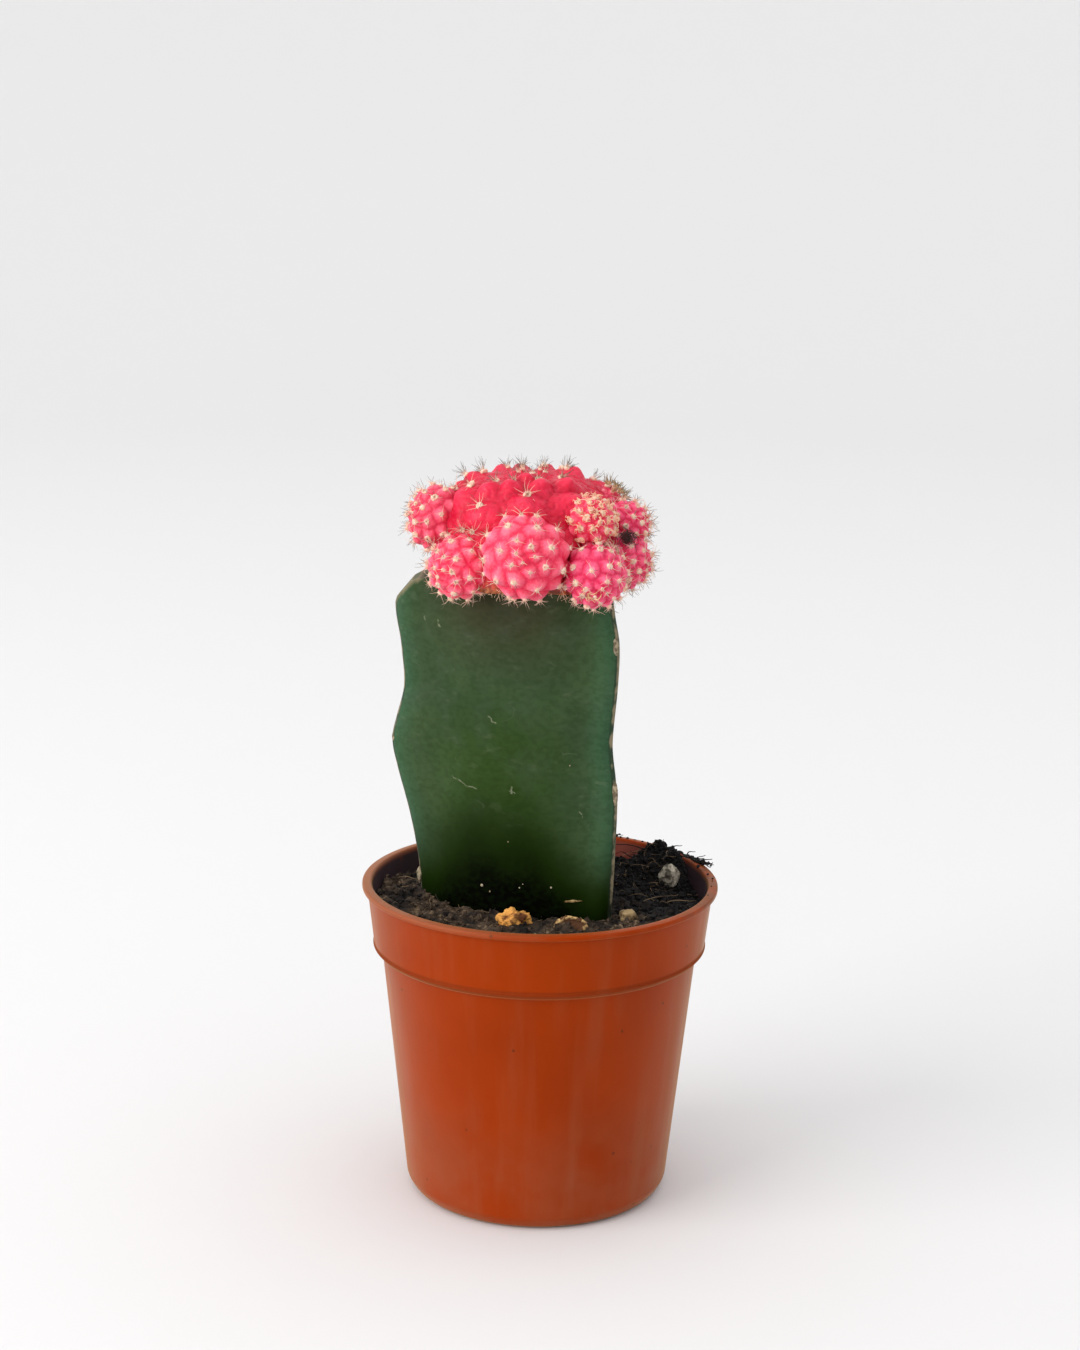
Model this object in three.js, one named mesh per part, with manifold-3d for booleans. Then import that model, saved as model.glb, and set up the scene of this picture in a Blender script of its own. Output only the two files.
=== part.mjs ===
// Potted moon cactus: a bright ribbed cactus with offsets, grafted on a green three-angled stem
// that stands in dark peat in a small plastic nursery pot. Millimetres, +Z up, front towards -Y.
// The origin is the middle of the pot's foot, on the surface that it stands on.

import * as THREE from 'three';
import { ConvexGeometry } from 'three/addons/geometries/ConvexGeometry.js';
import { mergeVertices } from 'three/addons/utils/BufferGeometryUtils.js';
import Module from 'manifold-3d';

const wasm = await Module();
wasm.setup();

// Clearance kept between two pieces that touch
const GAP = 0.3;
const WELD = 1e-4;
const TURN = 2 * Math.PI;

// Pot
const POT_HEIGHT = 49.5;
const RIM_RADIUS = 27.5;
const RIM_DEPTH = 0.9;
const RIM_ROUND = 0.25;
const BAND_HEIGHT = 9.8;
const BAND_TOP_RADIUS = 26.7;
const BAND_FOOT_RADIUS = 25.65;
const BAND_FOOT_ROUND = 0.9;
const BODY_TOP_RADIUS = 24.4;
const BODY_FOOT_RADIUS = 20.45;
const BODY_CORNER = 1.8;
const STEP_DEPTH = 1;
const WALL = 0.8;
const FOOT_RING_RADIUS = 16.6;
const FOOT_RING_SLOPE = 0.4;
const FOOT_LIFT = 0.6;
const FLOOR_TOP = FOOT_LIFT + WALL;
const BAND_FOOT = POT_HEIGHT - BAND_HEIGHT;
const BODY_TOP = BAND_FOOT - STEP_DEPTH;
const INNER_BODY_TOP = BODY_TOP - WALL / 2;
const ROUND_SIDES = 44;
const DRAIN_COUNT = 4;
const DRAIN_RADIUS = 2.2;
const DRAIN_CIRCLE = 10.5;
const DRAIN_SIDES = 10;

// Peat
const SOIL_LEVEL = 46.3;
const SOIL_LEFT_RISE = 0.4;
const SOIL_CRUMB = 0.35;
const SOIL_RINGS = [25.2, 21.8, 17.4, 11.6];
// The heap against the back of the rim, and two hollows
const SOIL_SWELLS = [
  { x: 20.5, y: 15.2, rise: 5, spread: 4.5 },
  { x: 25, y: 6, rise: -1.8, spread: 5 },
  { x: -18, y: 20, rise: -2.6, spread: 8 },
];

// Stock, the green stem under the graft
const STOCK_MIDDLE = new THREE.Vector2(-2.5, 1);
const STOCK_BUTT = 28;
const STOCK_FOOT = 46;
const STOCK_TOP = 97;
const STOCK_STEPS = 16;
const STOCK_SIDES = 30;
const STOCK_BEVEL = THREE.MathUtils.degToRad(50);
const MARGIN_WIDTH = 9;
const SOCKET_CLEAR = 0.35;
const SOCKET_RISE = 8;
const HEADROOM_DEPTH = 12;
const SCAR_SIZE = 0.9;
const SCAR_STRETCH = 1.6;
const SCAR_SINK = 0.6;

// Scion: a flattened mother head with ribs, and round offsets with a tubercle at each areole
const GRAFT_LEVEL = STOCK_TOP;
const MOTHER_RIBS = 10;
const MOTHER_SIDES = 40;
const MOTHER_ROWS = 12;
const MOTHER_LAST_AREOLE = 8;
const MOTHER_FIRST_RIB = THREE.MathUtils.degToRad(2);
const MOTHER_FULLNESS = 0.76;
const GROOVE_DEPTH = 0.19;
const CHIN_DEPTH = 0.12;
const OFFSET_PIT = 0.11;
const GOLDEN_ANGLE = Math.PI * (3 - Math.sqrt(5));

// Areole: a woolly pad with its spines, as one star
const PAD_RADIUS = 0.45;
const PAD_RISE = 0.4;
const PAD_SINK = 0.25;
const PAD_ROOT = 0.6;
const SPINE_LIFT = THREE.MathUtils.degToRad(34);
const SPINE_LEAST = 0.25;
const PAD_CLEAR = 0.5;
const NEIGHBOUR_REACH = 8;
const SEED = 11;

/**
 * Makes a manifold solid from a closed three.js geometry.
 */
function toSolid(geometry) {
  const bare = geometry.clone();
  bare.deleteAttribute('normal');
  bare.deleteAttribute('uv');
  const welded = mergeVertices(bare, WELD);
  const mesh = new wasm.Mesh({
    numProp: 3,
    vertProperties: new Float32Array(welded.attributes.position.array),
    triVerts: new Uint32Array(welded.index.array),
  });
  return new wasm.Manifold(mesh);
}

/**
 * Makes a three.js geometry from a manifold solid.
 */
function toGeometry(solid) {
  const mesh = solid.getMesh();
  const geometry = new THREE.BufferGeometry();
  geometry.setAttribute('position', new THREE.BufferAttribute(mesh.vertProperties, mesh.numProp));
  geometry.setIndex(new THREE.BufferAttribute(mesh.triVerts, 1));
  geometry.computeVertexNormals();
  return geometry;
}

/**
 * Turns a profile of [radius, height] pairs about the Z axis.
 */
function turned(profile, sides) {
  const points = profile.map(([radius, height]) => new THREE.Vector2(radius, height));
  const geometry = new THREE.LatheGeometry(points, sides);
  geometry.rotateX(Math.PI / 2);
  return geometry;
}

/**
 * Moves every point of a geometry by a rule.
 */
function reshape(geometry, rule) {
  const position = geometry.attributes.position;
  const point = new THREE.Vector3();
  for (let i = 0; i < position.count; i += 1) {
    point.fromBufferAttribute(position, i);
    rule(point);
    position.setXYZ(i, point.x, point.y, point.z);
  }
  return geometry;
}

/**
 * Wraps a solid as a named mesh.
 */
function piece(name, solid, color, roughness) {
  const material = new THREE.MeshStandardMaterial({ color, roughness, metalness: 0 });
  const mesh = new THREE.Mesh(toGeometry(solid), material);
  mesh.name = name;
  return mesh;
}

/**
 * Straight-line reading of a table of [height, value] pairs.
 */
function reading(table, height) {
  const last = table.length - 1;
  if (height <= table[0][0]) return table[0][1];
  if (height >= table[last][0]) return table[last][1];
  const k = table.findIndex(([level]) => level > height);
  const [z0, v0] = table[k - 1];
  const [z1, v1] = table[k];
  return v0 + ((v1 - v0) * (height - z0)) / (z1 - z0);
}

// Pot

function potProfile() {
  return [
    [0, FOOT_LIFT],
    [FOOT_RING_RADIUS - FOOT_RING_SLOPE, FOOT_LIFT],
    [FOOT_RING_RADIUS, 0],
    [BODY_FOOT_RADIUS - BODY_CORNER, 0],
    [BODY_FOOT_RADIUS - 0.3 * BODY_CORNER, 0.3 * BODY_CORNER],
    [BODY_FOOT_RADIUS, BODY_CORNER],
    [BODY_TOP_RADIUS, BODY_TOP],
    [BAND_FOOT_RADIUS - 0.3 * BAND_FOOT_ROUND, BODY_TOP + 0.3 * STEP_DEPTH],
    [BAND_FOOT_RADIUS, BAND_FOOT],
    [BAND_TOP_RADIUS, POT_HEIGHT - RIM_DEPTH],
    [RIM_RADIUS, POT_HEIGHT - RIM_DEPTH + RIM_ROUND],
    [RIM_RADIUS, POT_HEIGHT - RIM_ROUND],
    [RIM_RADIUS - RIM_ROUND, POT_HEIGHT],
    [BAND_TOP_RADIUS - WALL, POT_HEIGHT],
    [BAND_FOOT_RADIUS - WALL, BAND_FOOT],
    [BODY_TOP_RADIUS - WALL, INNER_BODY_TOP],
    [BODY_FOOT_RADIUS - WALL, FLOOR_TOP + WALL],
    [BODY_FOOT_RADIUS - 2 * WALL, FLOOR_TOP],
    [0, FLOOR_TOP],
  ];
}

function pot() {
  let solid = toSolid(turned(potProfile(), ROUND_SIDES));
  for (let k = 0; k < DRAIN_COUNT; k += 1) {
    const angle = TURN * ((k + 0.5) / DRAIN_COUNT);
    const drill = new THREE.CylinderGeometry(DRAIN_RADIUS, DRAIN_RADIUS, 4 * WALL, DRAIN_SIDES);
    drill.rotateX(Math.PI / 2);
    drill.translate(DRAIN_CIRCLE * Math.cos(angle), DRAIN_CIRCLE * Math.sin(angle), FLOOR_TOP);
    solid = solid.subtract(toSolid(drill));
  }
  return piece('pot', solid, 0xb4552e, 0.45);
}

// Stock

// Ribs of the stem: how far each margin stands out from its plan at each height, and its scars
const RIBS = {
  left: {
    tip: new THREE.Vector2(-21.3, 2.4),
    reach: [[46, -2.9], [50, -2.6], [56.4, -1.6], [60.4, -0.7], [66.8, 1], [71.1, 1.8], [74.7, 1.2],
      [79.5, 0.1], [85.8, 0.4], [91, 1.2], [97, 1.2]],
    bevelAt: 16.9,
    scars: [71.1, 49.5],
  },
  right: {
    tip: new THREE.Vector2(11.6, -11),
    reach: [[46, -1.1], [56, -0.6], [64.6, -0.3], [68, -0.7], [73.8, -1.6], [83, -0.7], [89, -0.6],
      [93.1, -1.5], [97, -2.2]],
    bevelAt: 17.1,
    scars: [88, 65],
  },
  back: {
    tip: new THREE.Vector2(4.4, 17.2),
    reach: [[46, -0.8], [56, 0.4], [67, -1], [79, 0.6], [90, -0.6], [97, -0.4]],
    bevelAt: 15.2,
    scars: [79, 56],
  },
};

// Plan of the stem seen from above, anticlockwise from the left rib, each rib tip as three points
const STOCK_PLAN = [
  [-21, 3.8], [-21.3, 2.4], [-20.4, 0.6],
  [-17.2, -2], [-11, -6.2], [-5.6, -8.6], [0.8, -10], [7, -11],
  [10.2, -11.9], [11.6, -11], [11.4, -9.2],
  [8.8, -4.5], [7.6, 2.5], [7.4, 9.5],
  [6.4, 15.4], [4.4, 17.2], [2.4, 15.6],
  [-1.6, 10.4], [-8.4, 7], [-15.4, 5.6],
];

function stockOutline(grow) {
  const knots = STOCK_PLAN.map(([x, y]) => new THREE.Vector3(x, y, 0));
  const curve = new THREE.CatmullRomCurve3(knots, true, 'centripetal');
  const points = [];
  for (let k = 0; k < STOCK_SIDES; k += 1) {
    const at = k / STOCK_SIDES;
    const point = curve.getPointAt(at);
    const along = curve.getTangentAt(at);
    points.push(new THREE.Vector2(point.x + grow * along.y, point.y - grow * along.x));
  }
  return points;
}

function marginShift(point, height) {
  const shift = new THREE.Vector2();
  for (const rib of Object.values(RIBS)) {
    const outward = rib.tip.clone().sub(STOCK_MIDDLE).normalize();
    const near = Math.max(0, 1 - rib.tip.distanceTo(point) / MARGIN_WIDTH);
    shift.addScaledVector(outward, near * (2 - near) * reading(rib.reach, height));
  }
  return shift;
}

function stockPrism(grow, levels) {
  const steps = levels.length - 1;
  const shape = new THREE.Shape(stockOutline(grow));
  const geometry = new THREE.ExtrudeGeometry(shape, { depth: steps, steps, bevelEnabled: false });
  return reshape(geometry, (point) => {
    const height = levels[Math.round(point.z)];
    const shift = marginShift(new THREE.Vector2(point.x, point.y), height);
    point.set(point.x + shift.x, point.y + shift.y, height);
  });
}

function stockLevels() {
  const levels = [STOCK_BUTT];
  for (let k = 0; k <= STOCK_STEPS; k += 1) {
    levels.push(STOCK_FOOT + ((STOCK_TOP - STOCK_FOOT) * k) / STOCK_STEPS);
  }
  return levels;
}

function bevelRib(solid, rib, lift) {
  const outward = rib.tip.clone().sub(STOCK_MIDDLE).normalize();
  const edge = STOCK_MIDDLE.clone().addScaledVector(outward, rib.bevelAt);
  const side = Math.sin(STOCK_BEVEL);
  const up = Math.cos(STOCK_BEVEL);
  const offset = side * outward.dot(edge) + up * (STOCK_TOP + lift);
  return solid.trimByPlane([-side * outward.x, -side * outward.y, -up], -offset);
}

function areoleScar(rib, height) {
  const outward = rib.tip.clone().sub(STOCK_MIDDLE).normalize();
  const shift = reading(rib.reach, height);
  const place = rib.tip.clone().addScaledVector(outward, shift - SCAR_SINK);
  const scar = new THREE.OctahedronGeometry(SCAR_SIZE);
  scar.scale(1, 1, SCAR_STRETCH);
  scar.translate(place.x, place.y, height);
  return toSolid(scar);
}

function stockSolid() {
  let solid = toSolid(stockPrism(0, stockLevels()));
  for (const rib of Object.values(RIBS)) {
    for (const height of rib.scars) solid = solid.add(areoleScar(rib, height));
    solid = bevelRib(solid, rib, 0);
  }
  return solid;
}

function stockSocket() {
  const levels = [STOCK_BUTT - GAP, STOCK_FOOT, STOCK_FOOT + SOCKET_RISE];
  return toSolid(stockPrism(SOCKET_CLEAR, levels));
}

function stockHeadroom() {
  const levels = [STOCK_TOP - HEADROOM_DEPTH, STOCK_TOP - HEADROOM_DEPTH / 3, STOCK_TOP];
  let solid = toSolid(stockPrism(SOCKET_CLEAR, levels));
  for (const rib of Object.values(RIBS)) solid = bevelRib(solid, rib, GAP);
  return solid;
}

// Chips of bark and grit that lie pressed into the peat

const CHIPS = [
  { name: 'bark_chip_front', at: [-3.8, -12.9, 47.1], size: [1.9, 1.5, 1.5],
    turn: 0.2, color: 0xb9783c },
  { name: 'bark_chip_pale', at: [4.7, -14.4, 46.8], size: [2.6, 1.2, 0.9],
    turn: -0.1, color: 0xd6b98a },
  { name: 'bark_chip_right', at: [13.5, -9.8, 47], size: [1.4, 1.2, 1.1],
    turn: 0.5, color: 0xb08d5c },
  { name: 'grit_stone', at: [20.4, 8.2, 47.7], size: [1.5, 1.4, 1.9],
    turn: 0.3, color: 0x9b988f },
];
const CHIP_KNOBBLE = 0.12;

function chipSolid(chip, grow) {
  const size = new THREE.Vector3(...chip.size).addScalar(grow);
  const geometry = new THREE.IcosahedronGeometry(1, 1);
  reshape(geometry, (point) => {
    const wave = Math.sin(3.1 * point.x + 9 * chip.turn) * Math.cos(2.7 * point.y + point.z);
    point.multiplyScalar(1 + CHIP_KNOBBLE * wave).multiply(size);
  });
  geometry.rotateY(0.4 * chip.turn);
  geometry.rotateZ(chip.turn);
  geometry.translate(...chip.at);
  return toSolid(geometry);
}

function chips() {
  return CHIPS.map((chip) => piece(chip.name, chipSolid(chip, 0), chip.color, 0.9));
}

// Peat

function soilHeight(x, y) {
  let height = SOIL_LEVEL + SOIL_LEFT_RISE * THREE.MathUtils.smoothstep(-x, 6, 24);
  for (const swell of SOIL_SWELLS) {
    const away = Math.hypot(x - swell.x, y - swell.y) / swell.spread;
    height += swell.rise * Math.exp(-(away ** 2));
  }
  return height + SOIL_CRUMB * (Math.sin(1.7 * x + 0.8 * y) + Math.sin(1.5 * y - 0.9 * x + 1));
}

function soil() {
  const profile = [
    [0, FLOOR_TOP + GAP],
    [BODY_FOOT_RADIUS - 2 * WALL - GAP, FLOOR_TOP + GAP],
    [BODY_FOOT_RADIUS - WALL - GAP, FLOOR_TOP + WALL + 2 * GAP],
    [BODY_TOP_RADIUS - WALL - GAP, INNER_BODY_TOP],
    [BAND_FOOT_RADIUS - WALL - GAP, BAND_FOOT + GAP],
    ...SOIL_RINGS.map((radius) => [radius, SOIL_LEVEL]),
    [0, SOIL_LEVEL],
  ];
  const geometry = reshape(turned(profile, ROUND_SIDES), (point) => {
    if (point.z > SOIL_LEVEL - GAP) point.z = soilHeight(point.x, point.y);
  });
  let solid = toSolid(geometry).subtract(stockSocket());
  for (const chip of CHIPS) solid = solid.subtract(chipSolid(chip, GAP));
  return piece('soil', solid, 0x2a1d15, 1);
}

// Scion: the mother head and its offsets, each with its ribs, pads and spines

const MOTHER = {
  name: 'scion_mother', at: [-2.1, 0, 104], radius: 13.3, height: 9.2, axis: [0, 0, 1],
  arms: 4, spine: 2.5, color: 0xe8344e,
};

// An offset's pits count the hollows between its tubercles, spread evenly over it
const OFFSETS = [
  { name: 'offset_front', at: [-2.7, -13, 102.6], radius: 6.7, height: 7, axis: [0.04, -1, 0.06],
    pits: 21, arms: 3, spine: 1.8, color: 0xee5a84 },
  { name: 'offset_left_low', at: [-12.4, -9.2, 100.2], radius: 5, height: 5, axis: [-0.55, -0.8, -0.05],
    pits: 14, arms: 3, spine: 1.7, color: 0xee5a84 },
  { name: 'offset_left_high', at: [-16.4, 0.2, 105.9], radius: 5.2, height: 4.3, axis: [-0.9, -0.35, 0.25],
    pits: 14, arms: 3, spine: 1.7, color: 0xdf4d76 },
  { name: 'offset_right_low', at: [7.4, -12.8, 99.9], radius: 4.9, height: 5.2, axis: [0.1, -0.9, -0.35],
    pits: 15, arms: 3, spine: 1.7, color: 0xe0457f },
  { name: 'offset_right', at: [11.7, -5.6, 100.9], radius: 4.6, height: 4.4, axis: [0.85, -0.5, -0.1],
    pits: 14, arms: 3, spine: 1.7, color: 0xd9437b },
  { name: 'offset_right_spiny', at: [6.5, -9.5, 107.2], radius: 3.9, height: 3.7, axis: [0.3, -0.8, 0.5],
    pits: 15, arms: 4, spine: 1.7, color: 0xe0507a },
  { name: 'offset_right_high', at: [11.9, -3.4, 105.9], radius: 3.8, height: 3.9, axis: [0.85, -0.35, 0.35],
    pits: 13, arms: 3, spine: 1.7, color: 0xd63a72 },
  { name: 'offset_crown', at: [9, 1.4, 108.4], radius: 2.7, height: 2.7, axis: [0.6, 0.1, 0.8],
    pits: 10, arms: 3, spine: 1.6, color: 0xc9545a },
  { name: 'offset_back_right', at: [9.2, 9.6, 101.4], radius: 5.4, height: 5.4, axis: [0.7, 0.7, 0.05],
    pits: 15, arms: 3, spine: 1.7, color: 0xe64f80 },
  { name: 'offset_back', at: [-2, 13, 102.6], radius: 6.2, height: 6.2, axis: [0, 1, 0.1],
    pits: 16, arms: 3, spine: 1.8, color: 0xee5a84 },
  { name: 'offset_back_left', at: [-11.4, 9.6, 101.4], radius: 5, height: 5, axis: [-0.7, 0.65, 0],
    pits: 14, arms: 3, spine: 1.7, color: 0xe64f80 },
  { name: 'offset_left_back', at: [-13.3, 4.6, 100.4], radius: 3.7, height: 3.7, axis: [-0.95, 0.2, -0.1],
    pits: 12, arms: 3, spine: 1.6, color: 0xdf4d76 },
];

/**
 * Middle and axes of a head: its own axis points to its crown.
 */
function headFrame(head) {
  const axis = new THREE.Vector3(...head.axis).normalize();
  const lead = Math.abs(axis.z) > 0.9 ? new THREE.Vector3(0, -1, 0) : new THREE.Vector3(0, 0, 1);
  const first = lead.addScaledVector(axis, -lead.dot(axis)).normalize();
  const second = new THREE.Vector3().crossVectors(axis, first);
  return { middle: new THREE.Vector3(...head.at), axis, first, second };
}

/**
 * Point of a head at an angle round its axis and an angle down from its crown.
 */
function headPoint(head, round, down, swell) {
  const { middle, axis, first, second } = headFrame(head);
  const full = head === MOTHER ? MOTHER_FULLNESS : 1;
  const out = head.radius * Math.sin(down) ** full;
  const along = head.height * Math.sign(Math.cos(down)) * Math.abs(Math.cos(down)) ** full;
  return middle.clone()
    .addScaledVector(first, swell * out * Math.cos(round))
    .addScaledVector(second, swell * out * Math.sin(round))
    .addScaledVector(axis, swell * along);
}

/**
 * Ribs of the mother head, each a row of chins that stand half a step off its neighbours.
 */
function motherRelief(round, down) {
  const rib = ((round - MOTHER_FIRST_RIB) / TURN) * MOTHER_RIBS;
  const number = Math.round(rib);
  const crest = Math.cos(Math.PI * (rib - number)) ** 2;
  const row = (down / Math.PI) * MOTHER_ROWS;
  const chin = 0.5 - 0.5 * Math.cos(Math.PI * (row - Math.abs(number)));
  const fade = Math.sin(down) ** 0.6;
  return 1 - fade * (GROOVE_DEPTH * (1 - crest) + CHIN_DEPTH * crest * (1 - chin));
}

function motherBody() {
  const geometry = new THREE.SphereGeometry(1, MOTHER_SIDES, MOTHER_ROWS);
  reshape(geometry, (point) => {
    const down = Math.acos(THREE.MathUtils.clamp(point.y, -1, 1));
    const round = Math.atan2(-point.z, point.x) + MOTHER_FIRST_RIB;
    point.copy(headPoint(MOTHER, round, down, motherRelief(round, down)));
  });
  return toSolid(geometry);
}

function motherAreoles() {
  const places = [];
  for (let rib = 0; rib < MOTHER_RIBS; rib += 1) {
    for (let row = 1 + (rib % 2); row <= MOTHER_LAST_AREOLE; row += 2) {
      const round = MOTHER_FIRST_RIB + (TURN * rib) / MOTHER_RIBS;
      places.push(headPoint(MOTHER, round, (Math.PI * row) / MOTHER_ROWS, 1));
    }
  }
  return places;
}

/**
 * Distance from a head's middle to its skin along a direction.
 */
function headReach(head, direction) {
  const { axis } = headFrame(head);
  const power = 2 / (head === MOTHER ? MOTHER_FULLNESS : 1);
  const along = Math.abs(direction.dot(axis));
  const out = Math.sqrt(Math.max(0, 1 - along ** 2));
  return ((out / head.radius) ** power + (along / head.height) ** power) ** (-1 / power);
}

/**
 * Triangles between the pits of an offset, and the areole that stands over each.
 */
function offsetFaces(head) {
  const { middle } = headFrame(head);
  const pits = [];
  for (let k = 0; k < head.pits; k += 1) {
    const down = Math.acos(1 - (2 * (k + 0.5)) / head.pits);
    pits.push(headPoint(head, GOLDEN_ANGLE * k, down, 1 - OFFSET_PIT));
  }
  const hull = new ConvexGeometry(pits).attributes.position;
  const faces = [];
  for (let k = 0; k < hull.count; k += 3) {
    const ring = [k, k + 1, k + 2].map((at) => new THREE.Vector3().fromBufferAttribute(hull, at));
    const towards = new THREE.Triangle(...ring).getMidpoint(new THREE.Vector3());
    towards.sub(middle).normalize();
    const areole = middle.clone().addScaledVector(towards, headReach(head, towards));
    faces.push({ ring, areole });
  }
  return faces;
}

/**
 * Faceted body of an offset: a tubercle under each areole.
 */
function offsetBody(head) {
  const corners = [];
  for (const { ring, areole: peak } of offsetFaces(head)) {
    for (let k = 0; k < 3; k += 1) corners.push(ring[k], ring[(k + 1) % 3], peak);
  }
  return toSolid(new THREE.BufferGeometry().setFromPoints(corners));
}

function offsetAreoles(head) {
  return offsetFaces(head).map((face) => face.areole);
}

/**
 * Flat contacts where a head meets its neighbours: it stays on the near side of each.
 */
function headLimits(head, heads) {
  const { middle } = headFrame(head);
  const limits = [];
  for (const other of heads) {
    const towards = headFrame(other).middle.sub(middle);
    const distance = towards.length();
    if (other === head) continue;
    towards.normalize();
    const own = headReach(head, towards);
    const theirs = headReach(other, towards);
    const space = distance - own - theirs;
    if (space > NEIGHBOUR_REACH) continue;
    const crossing = (distance ** 2 + own ** 2 - theirs ** 2) / (2 * distance);
    const meet = space < 0 ? crossing : own + space / 2;
    limits.push({ normal: towards, offset: towards.dot(middle) + meet - GAP / 2 });
  }
  return limits;
}

let seedState = SEED;

/**
 * Seeded draw between 0 and 1.
 */
function draw() {
  seedState = (seedState * 1664525 + 1013904223) % 4294967296;
  return seedState / 4294967296;
}

/**
 * Largest share of a spine that stays clear of the neighbours.
 */
function clearShare(base, spine, limits) {
  let share = 1;
  for (const { normal, offset } of limits) {
    const room = offset - SPINE_LEAST - normal.dot(base);
    const climb = normal.dot(spine);
    if (climb > room) share = Math.min(share, room / climb);
  }
  return share;
}

/**
 * One areole: a low pad whose points are drawn out into spreading spines, with a sunk root.
 */
function areole(head, base, limits) {
  const { middle, axis } = headFrame(head);
  if (limits.some(({ normal, offset }) => offset - normal.dot(base) < PAD_CLEAR)) return null;
  const normal = base.clone().sub(middle).normalize();
  const side = new THREE.Vector3().crossVectors(normal, axis).normalize();
  const upward = new THREE.Vector3().crossVectors(normal, side);
  const twist = TURN * draw();
  const geometry = new THREE.SphereGeometry(1, 2 * head.arms, 2);
  const reach = Array.from({ length: head.arms }, () => head.spine * (0.8 + 0.4 * draw()));
  reshape(geometry, (point) => {
    if (Math.abs(point.y) > 0.5) {
      const rise = point.y > 0 ? PAD_RISE : -PAD_ROOT;
      point.copy(base).addScaledVector(normal, rise);
      return;
    }
    const turn = Math.atan2(-point.z, point.x);
    const number = Math.round((turn * head.arms) / Math.PI);
    const outward = side.clone().multiplyScalar(Math.cos(turn + twist));
    outward.addScaledVector(upward, Math.sin(turn + twist));
    if (number % 2) {
      point.copy(base).addScaledVector(outward, PAD_RADIUS).addScaledVector(normal, -PAD_SINK);
      return;
    }
    const spine = outward.multiplyScalar(Math.cos(SPINE_LIFT));
    spine.addScaledVector(normal, Math.sin(SPINE_LIFT));
    spine.multiplyScalar(reach[(number / 2 + head.arms) % head.arms]);
    point.copy(base).addScaledVector(spine, clearShare(base, spine, limits));
  });
  return toSolid(geometry);
}

/**
 * The biggest connected part of a solid, without any scrap that a cut left loose.
 */
function biggest(solid) {
  const parts = solid.decompose();
  return parts.reduce((best, part) => (part.volume() > best.volume() ? part : best));
}

/**
 * A whole head, cut flat where it meets its neighbours.
 */
function headSolid(head, heads, headroom) {
  const limits = headLimits(head, heads);
  if (head === MOTHER) limits.push({ normal: new THREE.Vector3(0, 0, -1), offset: -GRAFT_LEVEL });
  const body = head === MOTHER ? motherBody() : offsetBody(head);
  const places = head === MOTHER ? motherAreoles() : offsetAreoles(head);
  const stars = places.map((base) => areole(head, base, limits)).filter(Boolean);
  let solid = wasm.Manifold.union([body, ...stars]);
  for (const { normal, offset } of limits) {
    solid = solid.trimByPlane([-normal.x, -normal.y, -normal.z], -offset);
  }
  if (head !== MOTHER) solid = solid.subtract(headroom);
  return biggest(solid);
}

function scion() {
  const heads = [MOTHER, ...OFFSETS];
  const headroom = stockHeadroom();
  return heads.map((head) => piece(head.name, headSolid(head, heads, headroom), head.color, 0.5));
}

const cactus = new THREE.Group();
cactus.add(piece('rootstock', stockSolid(), 0x2f5a3c, 0.55));
cactus.add(...scion());

const group = new THREE.Group();
group.add(pot());
group.add(soil());
group.add(...chips());
group.add(cactus);

export default group;
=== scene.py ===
"""A moon cactus grafted on a green three-angled stem, in peat in a small plastic nursery pot.

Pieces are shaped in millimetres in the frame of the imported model: +Z up, front towards -Y,
origin in the middle of the pot's foot. A piece is scaled to metres as it becomes an object.
"""

import logging
import math
import random
from collections.abc import Callable, Iterator, Sequence
from dataclasses import dataclass
from enum import Enum
from typing import Any

import bmesh
import bpy
from mathutils import Euler, Matrix, Vector, noise
from mathutils.kdtree import KDTree


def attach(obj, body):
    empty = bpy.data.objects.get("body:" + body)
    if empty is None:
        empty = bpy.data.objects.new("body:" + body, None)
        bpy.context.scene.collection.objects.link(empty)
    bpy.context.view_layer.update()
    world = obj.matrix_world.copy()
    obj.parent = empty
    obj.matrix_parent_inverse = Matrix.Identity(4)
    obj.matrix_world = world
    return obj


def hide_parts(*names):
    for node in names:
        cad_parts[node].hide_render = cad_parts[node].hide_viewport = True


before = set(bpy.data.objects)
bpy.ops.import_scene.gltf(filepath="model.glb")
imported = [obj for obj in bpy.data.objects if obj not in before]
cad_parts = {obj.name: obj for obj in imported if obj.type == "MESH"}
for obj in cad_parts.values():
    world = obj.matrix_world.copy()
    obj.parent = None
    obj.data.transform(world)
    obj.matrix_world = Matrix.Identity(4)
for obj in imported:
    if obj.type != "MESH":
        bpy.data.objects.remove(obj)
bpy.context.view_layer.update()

Mesh = bmesh.types.BMesh
Material = bpy.types.Material
Rule = Callable[[Vector], Vector]
Pair = tuple[float, float]
Triple = tuple[float, float, float]
Colour = Triple

LOG = logging.getLogger("moon_cactus")
BODY = "root"
MM = 0.001
TURN = 2 * math.pi
GOLDEN_ANGLE = math.pi * (3 - math.sqrt(5))
EVEN = (1, 1, 1)
SEAM = 0.001
CURL_TURN = 5.5
SWAY_STEPS = (13.7, 41.3, 77.9)


class Slot(Enum):
    """Material slots."""

    POT = "pot_plastic"
    PEAT = "peat"
    STOCK = "stock_skin"
    MOTHER = "mother_skin"
    OFFSET = "offset_skin"
    BARK = "bark"
    GRIT = "grit"


# Shared shaping


def smooth(low: float, high: float, value: float) -> float:
    """Smooth step: 0 where a value is below low, 1 above high, and a soft climb between."""
    share = min(1.0, max(0.0, (value - low) / (high - low)))
    return share * share * (3 - 2 * share)


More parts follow.
